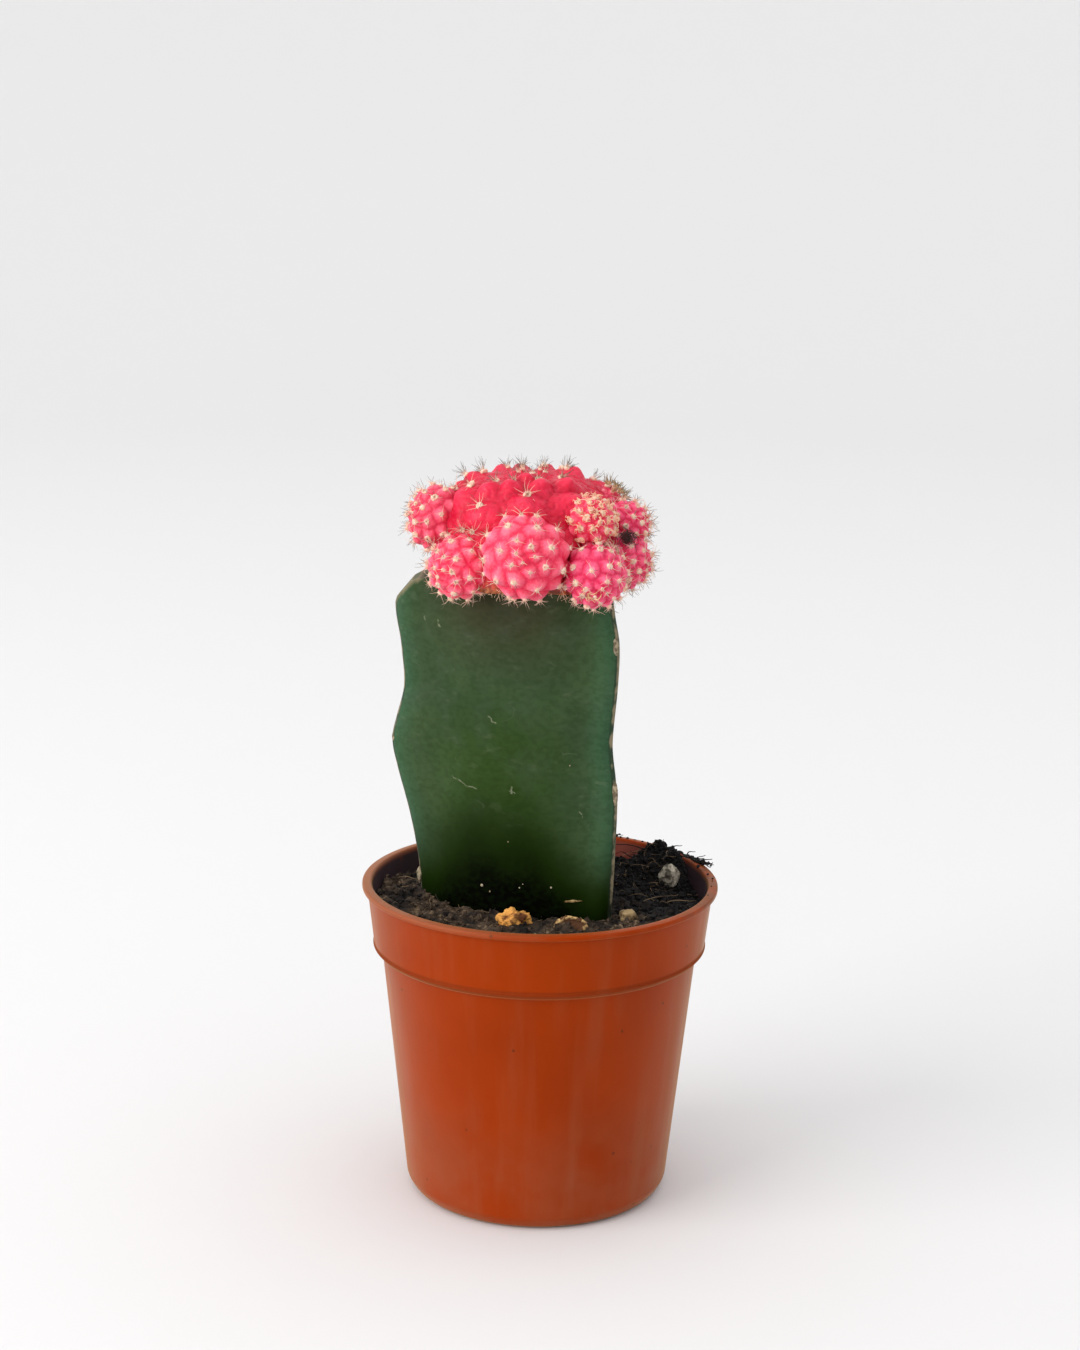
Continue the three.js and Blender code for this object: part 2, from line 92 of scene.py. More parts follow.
def curve_reading(table: Sequence[Pair], at: float) -> float:
    """Reads a table along a smooth curve.

    Args:
        table: Pairs of place and value, in rising order of place.
        at: Place to read.

    Returns:
        The value there, and the end value beyond either end.
    """
    if at <= table[0][0]:
        return table[0][1]
    if at >= table[-1][0]:
        return table[-1][1]
    k = next(i for i, (place, _) in enumerate(table) if place > at)
    (x0, y0), (x1, y1) = table[k - 1], table[k]
    before, after = table[max(0, k - 2)], table[min(len(table) - 1, k + 1)]
    slope0 = (y1 - before[1]) / (x1 - before[0])
    slope1 = (after[1] - y0) / (after[0] - x0)
    step = x1 - x0
    t = (at - x0) / step
    ends = slope0 * step * t * (1 - t) ** 2, slope1 * step * t * t * (t - 1)
    return y0 + (y1 - y0) * (t * t * (3 - 2 * t)) + ends[0] + ends[1]


def rough(point: Vector, size: float, octaves: int = 3) -> float:
    """Fractal roughness at a point, about -1 to 1, its largest lumps of the given size."""
    return noise.fractal(point / size, 0.9, 2.1, octaves)


def sway(point: Vector) -> Vector:
    """Smooth wandering of a point, the same in every run."""
    return Vector([noise.noise(point + Vector((by, -by, by))) for by in SWAY_STEPS])


def scaled(point: Vector, size: Sequence[float]) -> Vector:
    """Stretches a point by a factor along each axis."""
    return Vector([a * b for a, b in zip(point, size)])


def polar(round_: float, down: float) -> Vector:
    """Finds a direction.

    Args:
        round_: Angle round the axis, in degrees.
        down: Angle down from the axis, in degrees.

    Returns:
        The direction.
    """
    turn, lean = math.radians(round_), math.radians(down)
    out = math.sin(lean)
    return Vector((out * math.cos(turn), out * math.sin(turn), math.cos(lean)))


def angle_down(towards: Vector) -> float:
    """Angle of a direction down from its axis, in degrees."""
    return math.degrees(math.acos(max(-1.0, min(1.0, towards.z))))


def stand(up: Vector) -> tuple[Vector, Vector]:
    """Two directions square to one that stands on the skin and to each other."""
    side = up.orthogonal().normalized()
    return side, up.cross(side)


def marked(*names: str) -> Mesh:
    """Starts a mesh.

    Args:
        *names: Marks that its points carry for its finish.

    Returns:
        The mesh.
    """
    bm = bmesh.new()
    for name in names:
        bm.verts.layers.float.new(name)
    return bm


def section(points: Sequence[Pair]) -> Mesh:
    """Draws half a section as an open line.

    Args:
        points: Radius and height of its points.

    Returns:
        A mesh of the line.
    """
    bm = bmesh.new()
    verts = [bm.verts.new((radius, 0, height)) for radius, height in points]
    for ends in zip(verts, verts[1:]):
        bm.edges.new(ends)
    return bm


def spin(bm: Mesh, steps: int) -> None:
    """Spins half a section round the upright axis, and closes its seam and poles.

    Args:
        bm: The section, which becomes the spun shape.
        steps: Number of steps round.
    """
    bmesh.ops.spin(
        bm, geom=bm.verts[:] + bm.edges[:], axis=(0, 0, 1), cent=(0, 0, 0), angle=TURN,
        steps=steps, use_merge=True,
    )
    bmesh.ops.remove_doubles(bm, verts=bm.verts, dist=SEAM)


def add_ball(bm: Mesh, fineness: int, radius: float, rule: Rule) -> None:
    """Adds a ball to a mesh.

    Args:
        bm: The mesh.
        fineness: How often its faces are split.
        radius: Its radius.
        rule: Gives the new place of each of its points.
    """
    for vert in bmesh.ops.create_icosphere(bm, subdivisions=fineness, radius=radius)["verts"]:
        vert.co = rule(vert.co)


def add_crumb(
    bm: Mesh, fineness: int, size: float, place: Vector, seed: Vector,
    stretch: Sequence[float] = EVEN, lumps: float = 0.8, pitch: float = 1.6,
) -> None:
    """Adds a lumpy crumb to a mesh.

    Args:
        bm: The mesh.
        fineness: How often its faces are split.
        size: Its radius.
        place: Its middle.
        seed: Where in the noise its lumps are read.
        stretch: Its proportions.
        lumps: Height of the lumps as a share of the radius.
        pitch: Number of lumps in a radius.
    """

    def rule(point: Vector) -> Vector:
        """Place of a point of a ball on the crumb."""
        lump = 1 + lumps * noise.noise(point / size * pitch + seed)
        return place + scaled(point, stretch) * lump

    add_ball(bm, fineness, size, rule)


def placed(name: str, data: Any) -> bpy.types.Object:
    """Puts a new object into the scene.

    Args:
        name: Its name.
        data: Its mesh, lamp or camera.

    Returns:
        The object.
    """
    thing = bpy.data.objects.new(name, data)
    bpy.context.scene.collection.objects.link(thing)
    return thing


def skinned(name: str, bm: Mesh, material: Material, sharp: float = 180.0) -> bpy.types.Object:
    """Turns a mesh in millimetres into an object in metres.

    Args:
        name: Name of the object.
        bm: Mesh, which is freed.
        material: Its finish.
        sharp: Edges that turn more degrees than this stay crisp.

    Returns:
        The object.
    """
    bmesh.ops.recalc_face_normals(bm, faces=bm.faces)
    bmesh.ops.scale(bm, vec=(MM, MM, MM), verts=bm.verts)
    limit = math.radians(sharp)
    for edge in bm.edges:
        edge.smooth = edge.calc_face_angle(0.0) < limit
    for face in bm.faces:
        face.smooth = True
    mesh = bpy.data.meshes.new(name)
    bm.to_mesh(mesh)
    bm.free()
    mesh.materials.append(material)
    return placed(name, mesh)


def finished(
    name: str, bm: Mesh, material: Material, slot: Slot, node: str = "", sharp: float = 180.0
) -> None:
    """Makes a piece of the plant, which rides on its body.

    Args:
        name: Name of the piece.
        bm: Mesh in millimetres, which is freed.
        material: Its finish.
        slot: Slot of the finish; not used.
        node: Solid that the piece stands for.
        sharp: Edges that turn more degrees than this stay crisp.
    """
    piece = skinned(name, bm, material, sharp)
    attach(piece, BODY)
    if node:
        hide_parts(node)
    piece.data.calc_loop_triangles()
    LOG.info("%s: %d triangles", name, len(piece.data.loop_triangles))


@dataclass(frozen=True)
class Hair:
    """Course of one spine, hair or fibre."""

    root: Vector
    direction: Vector
    bend: Vector
    length: float
    radius: float
    curl: float = 0.0
    painted_silhouette_shade: float = 1.0

    def rule(self) -> Rule:
        """Lays a stamped hair along the course.

        Returns:
            The rule that places its points.
        """
        side = self.direction.orthogonal().normalized()
        across = self.direction.cross(side).normalized()

        def place(point: Vector) -> Vector:
            """Lays a point of the stamp along the course.

            Args:
                point: The point.

            Returns:
                Its place.
            """
            t = point.z
            middle = self.root + self.direction * (self.length * t) + self.bend * (t * t)
            middle = middle + side * (math.sin(CURL_TURN * t) * self.curl)
            middle = middle + across * ((1 - math.cos(CURL_TURN * t)) * self.curl)
            return middle + (side * point.x + across * point.y) * self.radius

        return place

    def tip(self) -> Vector:
        """Place of the point."""
        return self.root + self.direction * self.length + self.bend


class Stamp:
    """A small shape that is set down many times in one mesh."""

    def __init__(self, bm: Mesh) -> None:
        """Keeps the shape.

        Args:
            bm: Shape with its height running from 0 to 1, which is freed.
        """
        self.mesh = bpy.data.meshes.new("stamp")
        bm.to_mesh(self.mesh)
        bm.free()

    def press(self, bm: Mesh, rule: Rule, mark: str = "", share: float = 1.0) -> None:
        """Adds one copy.

        Args:
            bm: Mesh that takes the copy.
            rule: Gives the place of each point of the shape.
            mark: Mark that keeps the height of each point in the shape.
            share: Share of the height that it keeps.
        """
        first = len(bm.verts)
        bm.from_mesh(self.mesh)
        bm.verts.ensure_lookup_table()
        heights = bm.verts.layers.float.get(mark)
        for vert in bm.verts[first:]:
            if heights:
                vert[heights] = vert.co.z * share
            vert.co = rule(vert.co)

    def discard(self) -> None:
        """Deletes the kept shape."""
        bpy.data.meshes.remove(self.mesh)


def hair_stamp(joints: int, tip: float) -> Stamp:
    """Makes a tapered four-sided hair of length 1 and root radius 1.

    Args:
        joints: Number of places where it can bend.
        tip: Radius of its point.

    Returns:
        The stamp.
    """
    bm = bmesh.new()
    bmesh.ops.create_cone(
        bm, cap_ends=True, cap_tris=True, segments=4, radius1=1, radius2=tip, depth=1,
        matrix=Matrix.Translation((0, 0, 0.5)),
    )
    for k in range(joints):
        level = Vector((0, 0, (k + 1) / (joints + 1)))
        geometry = bm.verts[:] + bm.edges[:] + bm.faces[:]
        bmesh.ops.bisect_plane(bm, geom=geometry, plane_co=level, plane_no=(0, 0, 1))
    return Stamp(bm)


# Finishes


class Reading:
    """Output of a node, with the arithmetic that the finishes need."""

    def __init__(self, graph: "Graph", socket: bpy.types.NodeSocket) -> None:
        """Keeps the output and its graph."""
        self.graph, self.socket = graph, socket

    def math(self, operation: str, other: Any = 0.0) -> "Reading":
        """Result of an operation on this and another value."""
        return self.graph.node("Math", {0: self, 1: other}, operation=operation)

    def __add__(self, other: Any) -> "Reading":
        """Sum."""
        return self.math("ADD", other)

    def __sub__(self, other: Any) -> "Reading":
        """Difference."""
        return self.math("SUBTRACT", other)

    def __mul__(self, other: Any) -> "Reading":
        """Product."""
        return self.math("MULTIPLY", other)

    def __abs__(self) -> "Reading":
        """Value without its sign."""
        return self.math("ABSOLUTE")

    def step(self, low: float, high: float) -> "Reading":
        """Smooth step from low to high, which may run downwards."""
        ends = {"Value": self, "From Min": low, "From Max": high}
        return self.graph.node("MapRange", ends, interpolation_type="SMOOTHSTEP")

    def spread(self, low: float, high: float, first: float, last: float) -> "Reading":
        """Straight climb from first to last as the value goes from low to high."""
        ends = {"Value": self, "From Min": low, "From Max": high, "To Min": first, "To Max": last}
        return self.graph.node("MapRange", ends)


class Graph:
    """Node tree of one material, with short calls for the nodes that the finishes share."""

    def __init__(self, name: str) -> None:
        """Starts a material with a plain shader.

        Args:
            name: Name of the material.
        """
        self.material = bpy.data.materials.new(name)
        self.material.use_nodes = True
        self.tree = self.material.node_tree
        self.shader = self.tree.nodes["Principled BSDF"]
        self.place = self.node("TexCoord", {}, "Object")

    def feed(self, socket: bpy.types.NodeSocket, value: Any) -> None:
        """Links or sets a socket.

        Args:
            socket: Input to feed.
            value: Reading to link, or a number or colour.
        """
        if isinstance(value, Reading):
            self.tree.links.new(value.socket, socket)
        else:
            socket.default_value = (*value, 1.0) if socket.type == "RGBA" else value

    def node(self, kind: str, inputs: dict[Any, Any], output: Any = 0, **settings: Any) -> Reading:
        """Adds a node.

        Args:
            kind: Type of node, without its prefix.
            inputs: Values or readings by name or number of the socket.
            output: Name or number of the output to read.
            **settings: Properties of the node.

        Returns:
            The reading of the output.
        """
        node = self.tree.nodes.new("ShaderNode" + kind)
        for key, value in settings.items():
            setattr(node, key, value)
        for key, value in inputs.items():
            self.feed(node.inputs[key], value)
        return Reading(self, node.outputs[output])

    def noise(self, size: float, detail: float = 3.0, stretch: Triple = EVEN) -> Reading:
        """Cloudy pattern.

        Args:
            size: Size of its clouds in millimetres.
            detail: Number of finer layers.
            stretch: Scale of the pattern along each axis.

        Returns:
            Its strength.
        """
        where = self.node("Mapping", {"Vector": self.place, "Scale": stretch})
        return self.node("TexNoise", {"Vector": where, "Scale": 1 / (size * MM), "Detail": detail})

    def cells(self, size: float) -> Reading:
        """Distance to the nearest middle in a pattern of cells, whose size is in millimetres."""
        inputs = {"Vector": self.place, "Scale": 1 / (size * MM)}
        return self.node("TexVoronoi", inputs, "Distance")

    def mark(self, name: str) -> Reading:
        """Mark on the points of the piece."""
        return self.node("Attribute", {}, "Fac", attribute_name=name)

    def along(self, axis: str) -> Reading:
        """Place along an axis, in metres."""
        return self.node("SeparateXYZ", {"Vector": self.place}, axis)

    def coats(self, ground: Any, *coats: tuple[Any, Any]) -> Any:
        """Lays colours over a ground.

        Args:
            ground: Colour underneath.
            *coats: Share and colour of each coat, from the lowest up.

        Returns:
            The colour on top.
        """
        for share, colour in coats:
            ground = self.node("Mix", {0: share, 6: ground, 7: colour}, 2, data_type="RGBA")
        return ground

    def relief(self, *layers: tuple[Reading, float]) -> Reading:
        """Raises patterns on the surface.

        Args:
            *layers: Pattern and depth in millimetres of each layer, from the lowest up.

        Returns:
            The normal.
        """
        under: dict[str, Any] = {}
        for pattern, depth in layers:
            normal = self.node("Bump", {"Height": pattern, "Distance": depth * MM, **under})
            under = {"Normal": normal}
        return normal

    def dress(self, body: Any, roughness: Any, specular: float, **others: Any) -> Material:
        """Feeds the shader.

        Args:
            body: Base colour.
            roughness: Roughness.
            specular: Specular level.
            **others: Other sockets, with an underscore for each space in the name.

        Returns:
            The material.
        """
        sockets = {"Base Color": body, "Roughness": roughness, "Specular IOR Level": specular}
        sockets |= {key.replace("_", " "): value for key, value in others.items()}
        for key, value in sockets.items():
            self.feed(self.shader.inputs[key], value)
        return self.material


@dataclass(frozen=True)
class PlasticFinish:
    """Terracotta-coloured moulded plastic with dusty streaks, a line of painted shade at the ledge,
    a left lip paler with dust and painted highlight, and peat stains with painted shade inside.
    """

    light: Colour = (0.298, 0.028, 0.0002)
    deep: Colour = (0.266, 0.024, 0.0002)
    dust: Colour = (0.3, 0.115, 0.06)
    speck_and_painted_shade: Colour = (0.07, 0.016, 0.006)
    grime: Colour = (0.1, 0.03, 0.018)
    stain_and_painted_shade: Colour = (0.05, 0.036, 0.044)
    back_stain_and_painted_shade: Colour = (0.24, 0.06, 0.045)
    olive_sheen: Colour = (0.85, 0.8, 0.3)
    ledge_height: float = 0.0397

    def material(self) -> Material:
        """Makes the material.

        Returns:
            The material.
        """
        graph = Graph("pot_plastic")
        across, height, inside = graph.along("X"), graph.along("Z"), graph.mark("inside")
        streaks = graph.noise(4.2, 3, (1, 1, 0.025))
        film = height.step(0.026, 0.004) * graph.noise(9, 4).step(0.3, 0.7)
        ledge = abs(height - self.ledge_height).step(0.0008, 0.0003)
        lip = height.step(0.0484, 0.0492)
        right = across.step(0.019, 0.0245) * 0.6 * graph.noise(2.5, 4).step(0.35, 0.6)
        back = across.step(0.002, 0.007) * graph.along("Y").step(0.014, 0.019)
        # Inside, the wall darkens: partly peat stain and partly painted shade, redder at the back.
        stained_and_painted_shade = inside * graph.noise(4, 4).step(0.1, 0.35)
        body = graph.coats(
            self.light,
            (graph.noise(16, 3).step(0.35, 0.7), self.deep),
            (streaks.step(0.46, 0.72) * 0.14 + film * 0.24, self.dust),
            (graph.cells(5.5).step(0.06, 0.035) * 0.7, self.speck_and_painted_shade),
            # Painted shade: a thin darker line at the ledge under the band, which also dims its
            # highlight.
            (ledge * 0.35, self.speck_and_painted_shade),
            # Paler dusty colour on the left part of the lip only: partly dust, partly painted
            # highlight on the lamp side.
            (lip * (across.step(0.006, -0.02) * 0.55), self.dust),
            (lip * right, self.grime),
            (stained_and_painted_shade * 0.97, graph.coats(self.stain_and_painted_shade, (back, self.back_stain_and_painted_shade))),
        )
        relief = graph.relief((graph.noise(0.35, 2), 0.01), (graph.noise(9, 2, (1, 1, 0.35)), 0.1))
        gloss = streaks.spread(0.3, 0.8, 0.3, 0.5) + ledge * 0.3
        return graph.dress(
            body, gloss, 0.085, Normal=relief, Specular_Tint=(1.0, 0.95, 0.5),
            Sheen_Weight=abs(inside - 1.0) * 0.22, Sheen_Roughness=0.4, Sheen_Tint=self.olive_sheen,
        )


@dataclass(frozen=True)
class PeatFinish:
    """Damp peat: black-brown, with browner crumbs that grow fewer towards the back right."""

    wet: Colour = (0.01, 0.0085, 0.008)
    dry: Colour = (0.07, 0.046, 0.029)
    dusty: Colour = (0.19, 0.13, 0.078)

    def material(self) -> Material:
        """Makes the material.

        Returns:
            The material.
        """
        graph = Graph("peat")
        # Fewer browner crumbs and dusty specks towards the back right, so the peat is darker there.
        back_right_darkening = (graph.along("X") + graph.along("Y")).step(-0.004, 0.022)
        blot = graph.noise(2.4, 4) - back_right_darkening * 0.3
        fine = graph.noise(0.7, 4)
        dust = (fine * blot).step(0.3, 0.4)
        body = graph.coats(self.wet, (blot.step(0.32, 0.62), self.dry), (dust, self.dusty))
        relief = graph.relief((fine, 0.35), (graph.noise(0.22, 2), 0.1))
        return graph.dress(body, 0.93, 0.25, Normal=relief)


@dataclass(frozen=True)
class StockFinish:
    """Dark green waxy skin: browner under the graft, partly painted shadow; near black at the foot,
    partly stain and partly painted shade; a painted teal sheen and a line of painted shade at the
    margins, which are horny.
    """

    leaf: Colour = (0.046, 0.079, 0.032)
    grey: Colour = (0.033, 0.061, 0.026)
    deep: Colour = (0.025, 0.054, 0.009)
    painted_margin_sheen: Colour = (0.04, 0.106, 0.054)
    brown: Colour = (0.043, 0.038, 0.02)
    shade: Colour = (0.0075, 0.0185, 0.0012)
    foot: Colour = (0.0006, 0.0009, 0.0001)
    cork: Colour = (0.24, 0.2, 0.125)
    pale: Colour = (0.15, 0.18, 0.11)
    scraped: Colour = (0.28, 0.29, 0.19)
    bloom: Colour = (0.06, 0.088, 0.062)
    edge: Colour = (0.026, 0.034, 0.026)
    scratches: tuple[tuple[float, ...], ...] = (
        (-13.8, 67.1, -9.6, 65.4, 0.14), (-4.2, 66.8, -4.7, 65.6, 0.18),
        (-5, 66.1, -3.8, 65.7, 0.1), (-15.9, 91.4, -15.6, 89.8, 0.2),
        (-18.1, 91.8, -17.8, 90.5, 0.16), (-8.2, 77.4, -6.8, 76.2, 0.16),
        (5.7, 63.7, 6.3, 62.5, 0.14),
    )

    def material(self) -> Material:
        """Makes the material.

        Returns:
            The material.
        """
        graph = Graph("stock_skin")
        height, middle, margin = graph.along("Z"), graph.mark("middle"), graph.mark("margin")
        clear = height.step(0.056, 0.072)
        soft = graph.noise(13, 4) + graph.noise(3.4, 4) * 0.3
        blot = height + graph.noise(8, 3) * 0.008 - middle * 0.009
        skin = graph.coats(
            self.leaf,
            (soft.step(0.5, 0.8), self.grey),
            # Painted shade: the middle of each face darkens towards the foot, partly stain and
            # partly shade from the soil and the pot; the margins stay lighter.
            (height.step(0.086, 0.07) * middle * 0.85, self.deep),
            # Painted sheen: a lighter teal near the rib margins stands in for the reflection of the
            # surroundings.
            (graph.mark("margin_near") * 0.7, self.painted_margin_sheen),
            # Browner in the middle of each face under the graft: partly the stem's own tone, partly
            # painted shadow under the heads.
            (height.step(0.08, 0.096) * middle * 0.9, self.brown),
            # Dark green, then near black, at the very foot: partly stain, partly painted shade.
            (blot.step(0.0645, 0.052), self.shade),
            (blot.step(0.0545, 0.0455), self.foot),
        )
        mottle = graph.noise(1.0, 6, (1, 1, 1.5)).step(0.42, 0.62)
        powder = graph.noise(4.5, 5).step(0.42, 0.75)
        veil = graph.noise(0.9, 5, (0.5, 0.5, 1)).step(0.52, 0.72)
        haze = veil * graph.noise(9, 2).step(0.42, 0.66)
        level_lines = abs(graph.noise(8, 1, (1, 1, 1.9)) - 0.5).step(0.006, 0.002)
        scores = level_lines * graph.noise(3.7, 2).step(0.56, 0.66)
        body = graph.coats(
            skin,
            (mottle * 0.42, graph.coats(skin, (0.5, self.shade))),
            (powder * 0.2 * clear, self.bloom),
            (haze * 0.2 * clear, self.pale),
            (scores * 0.2 * clear, self.pale),
            (self.scraping(graph) * 0.5, self.scraped),
            # Painted shade: a thin darker line along the rib margins.
            (margin.step(0.2, 0.8) * 0.6, self.edge),
            ((margin * graph.noise(2.2, 3)).step(0.36, 0.6), self.cork),
            (graph.mark("cut"), self.cork),
        )
        relief = graph.relief((graph.noise(0.5, 3), 0.02), (graph.noise(6, 2), 0.2))
        return graph.dress(body, graph.noise(4, 3) * 0.25 + 0.36, 0.03, Normal=relief)

    def scraping(self, graph: Graph) -> Reading:
        """Single pale scratches on the front face, each a short line that wavers.

        Args:
            graph: Graph of the finish.

        Returns:
            Share of scraped skin.
        """
        across, height = graph.along("X"), graph.along("Z")
        waver = (graph.noise(1.6, 3) - 0.5) * (1.5 * MM)
        marks = graph.along("Y").step(0.0, -0.003) * graph.noise(0.6, 2).step(0.36, 0.6)
        lines = []
        for x0, z0, x1, z1, width in self.scratches:
            length = math.hypot(x1 - x0, z1 - z0)
            run, rise = (x1 - x0) / length, (z1 - z0) / length
            right, over = across - (x0 + x1) / 2 * MM, height - (z0 + z1) / 2 * MM
            off = abs(over * run - right * rise + waver)
            ends = abs(right * run + over * rise).step(length / 2 * MM, length / 3 * MM)
            lines.append(ends * off.step(width * MM, width / 3 * MM))
        together = lines[0]
        for line in lines[1:]:
            together = together.math("MAXIMUM", line)
        return together * marks


@dataclass(frozen=True)
class FleshFinish:
    """Fleshy skin of a head without any green: paler on each tubercle, a painted highlight, and
    deep in its grooves, painted shade.
    """

    name: str
    body: Colour
    painted_groove_shade: Colour
    tip: Colour
    crown: Colour
    low: Colour
    low_from: float
    low_to: float
    low_share: float
    low_dried_and_shadow: float = 0.3
    shred: Colour = (0.03, 0.01, 0.004)

    def material(self) -> Material:
        """Makes the material.

        Returns:
            The material.
        """
        graph = Graph(self.name)
        mottle, fine = graph.noise(1.5, 3), graph.noise(0.42, 4)
        grain = mottle * 0.22 + fine * 0.5
        soft = graph.mark("tubercle") + (grain * 1.5 - 0.45)
        low = (graph.along("Z") + mottle * 0.004).step(self.low_from * MM, self.low_to * MM)
        shreds = graph.noise(0.9, 3, (1, 1, 0.6)).step(0.42, 0.6)
        # Ragged darker patches in the low band: partly dried tissue and partly painted shadow,
        # strongest on the mother under the offsets.
        shredded = graph.coats(self.low, (self.low_dried_and_shadow, self.shred))
        body = graph.coats(
            self.body,
            # Painted shade deepens the grooves between the tubercles, and a painted highlight pales
            # each tubercle's top.
            (soft.step(0.62, 1.12), self.painted_groove_shade),
            (soft.step(0.62, 0.2), self.tip),
            (graph.mark("crown"), self.crown),
            (low * self.low_share, graph.coats(self.low, (shreds, shredded))),
        )
        relief = graph.relief((fine, 0.09), (graph.noise(1.7, 2), 0.16))
        return graph.dress(
            body, mottle.spread(0.3, 0.7, 0.3, 0.48), 0.25, Normal=relief,
            Subsurface_Weight=0.28, Subsurface_Scale=1.6 * MM, Subsurface_Radius=(1.0, 0.32, 0.3),
        )


class Flesh(Enum):
    """Tints of the heads: body, groove colour (painted shade), tip colour (painted highlight),
    crown and low colour, and where the low one lies.
    """

    CORAL = FleshFinish(
        "mother_coral", (0.7, 0.014, 0.056), (0.56, 0.006, 0.034), (0.76, 0.03, 0.08),
        (0.64, 0.018, 0.055), (0.4, 0.15, 0.045), 101.5, 99, 0.92, 0.75,
    )
    PINK = FleshFinish(
        "offset_pink", (0.95, 0.135, 0.215), (0.82, 0.028, 0.09), (0.95, 0.38, 0.43),
        (0.78, 0.03, 0.09), (0.9, 0.2, 0.2), 99.5, 96, 0.5,
    )
    MAGENTA = FleshFinish(
        "offset_magenta", (0.89, 0.112, 0.225), (0.72, 0.02, 0.095), (0.92, 0.34, 0.43),
        (0.64, 0.012, 0.06), (0.86, 0.14, 0.17), 99, 95, 0.5,
    )
    RUSTY = FleshFinish(
        "offset_rusty", (0.84, 0.11, 0.18), (0.68, 0.026, 0.08), (0.88, 0.3, 0.35),
        (0.62, 0.016, 0.06), (0.5, 0.14, 0.06), 105, 100.5, 0.85,
    )


@dataclass(frozen=True)
class WoolFinish:
    """Cream wool of the areoles, browner in the dimple where the spines stand."""

    wool: Colour = (0.95, 0.74, 0.57)
    blush: Colour = (0.9, 0.5, 0.4)
    dimple: Colour = (0.7, 0.33, 0.22)

    def material(self) -> Material:
        """Makes the material.

        Returns:
            The material.
        """
        graph = Graph("areole_wool")
        fuzz = graph.noise(0.16, 3)
        body = graph.coats(
            self.wool,
            (graph.noise(0.5, 2).step(0.46, 0.62), self.blush),
            (graph.mark("dimple").step(0.1, 0.85), self.dimple),
            (fuzz.step(0.6, 0.4) * 0.3, self.dimple),
        )
        return graph.dress(
            body, 0.9, 0.2, Normal=graph.relief((fuzz, 0.12)), Subsurface_Weight=0.3,
            Subsurface_Scale=0.5 * MM,
        )


@dataclass(frozen=True)
class SpineFinish:
    """Horny spines, which change colour from root to point."""

    name: str
    root: Colour
    point: Colour

    def material(self) -> Material:
        """Makes the material.

        Returns:
            The material.
        """
        graph = Graph(self.name)
        share = graph.mark("along").step(0.1, 0.7)
        return graph.dress(graph.coats(self.root, (share, self.point)), 0.5, 0.4)


class Spines(Enum):
    """Kinds of spines."""

    # The near-black point of the pale spines is painted shade for spines seen against the light.
    PALE = SpineFinish("spine_pale", (0.82, 0.58, 0.44), (0.08, 0.07, 0.045))
    RUST = SpineFinish("spine_rust", (0.3, 0.1, 0.04), (0.85, 0.6, 0.4))
    STRAW = SpineFinish("spine_straw", (0.95, 0.58, 0.38), (0.92, 0.6, 0.32))
    OLIVE = SpineFinish("spine_olive", (0.85, 0.6, 0.34), (0.24, 0.17, 0.08))
    DRIED = SpineFinish("spine_dried", (0.12, 0.06, 0.045), (0.045, 0.026, 0.024))


@dataclass(frozen=True)
class ChipFinish:
    """Rough bark or stone with darker pits, and a dished middle in the pit colour, partly brown and
    partly painted shade.
    """

    name: str
    face: Colour
    pit: Colour
    grain: float

    def material(self) -> Material:
        """Makes the material.

        Returns:
            The material.
        """
        graph = Graph(self.name)
        pits = graph.noise(self.grain * 2.2, 5).step(0.58, 0.4)
        body = graph.coats(self.face, (pits, self.pit), (graph.mark("hollow_brown_and_shade"), self.pit))
        relief = graph.relief((graph.noise(self.grain, 4), 0.25))
        return graph.dress(body, 0.85, 0.3, Normal=relief)


# Pot


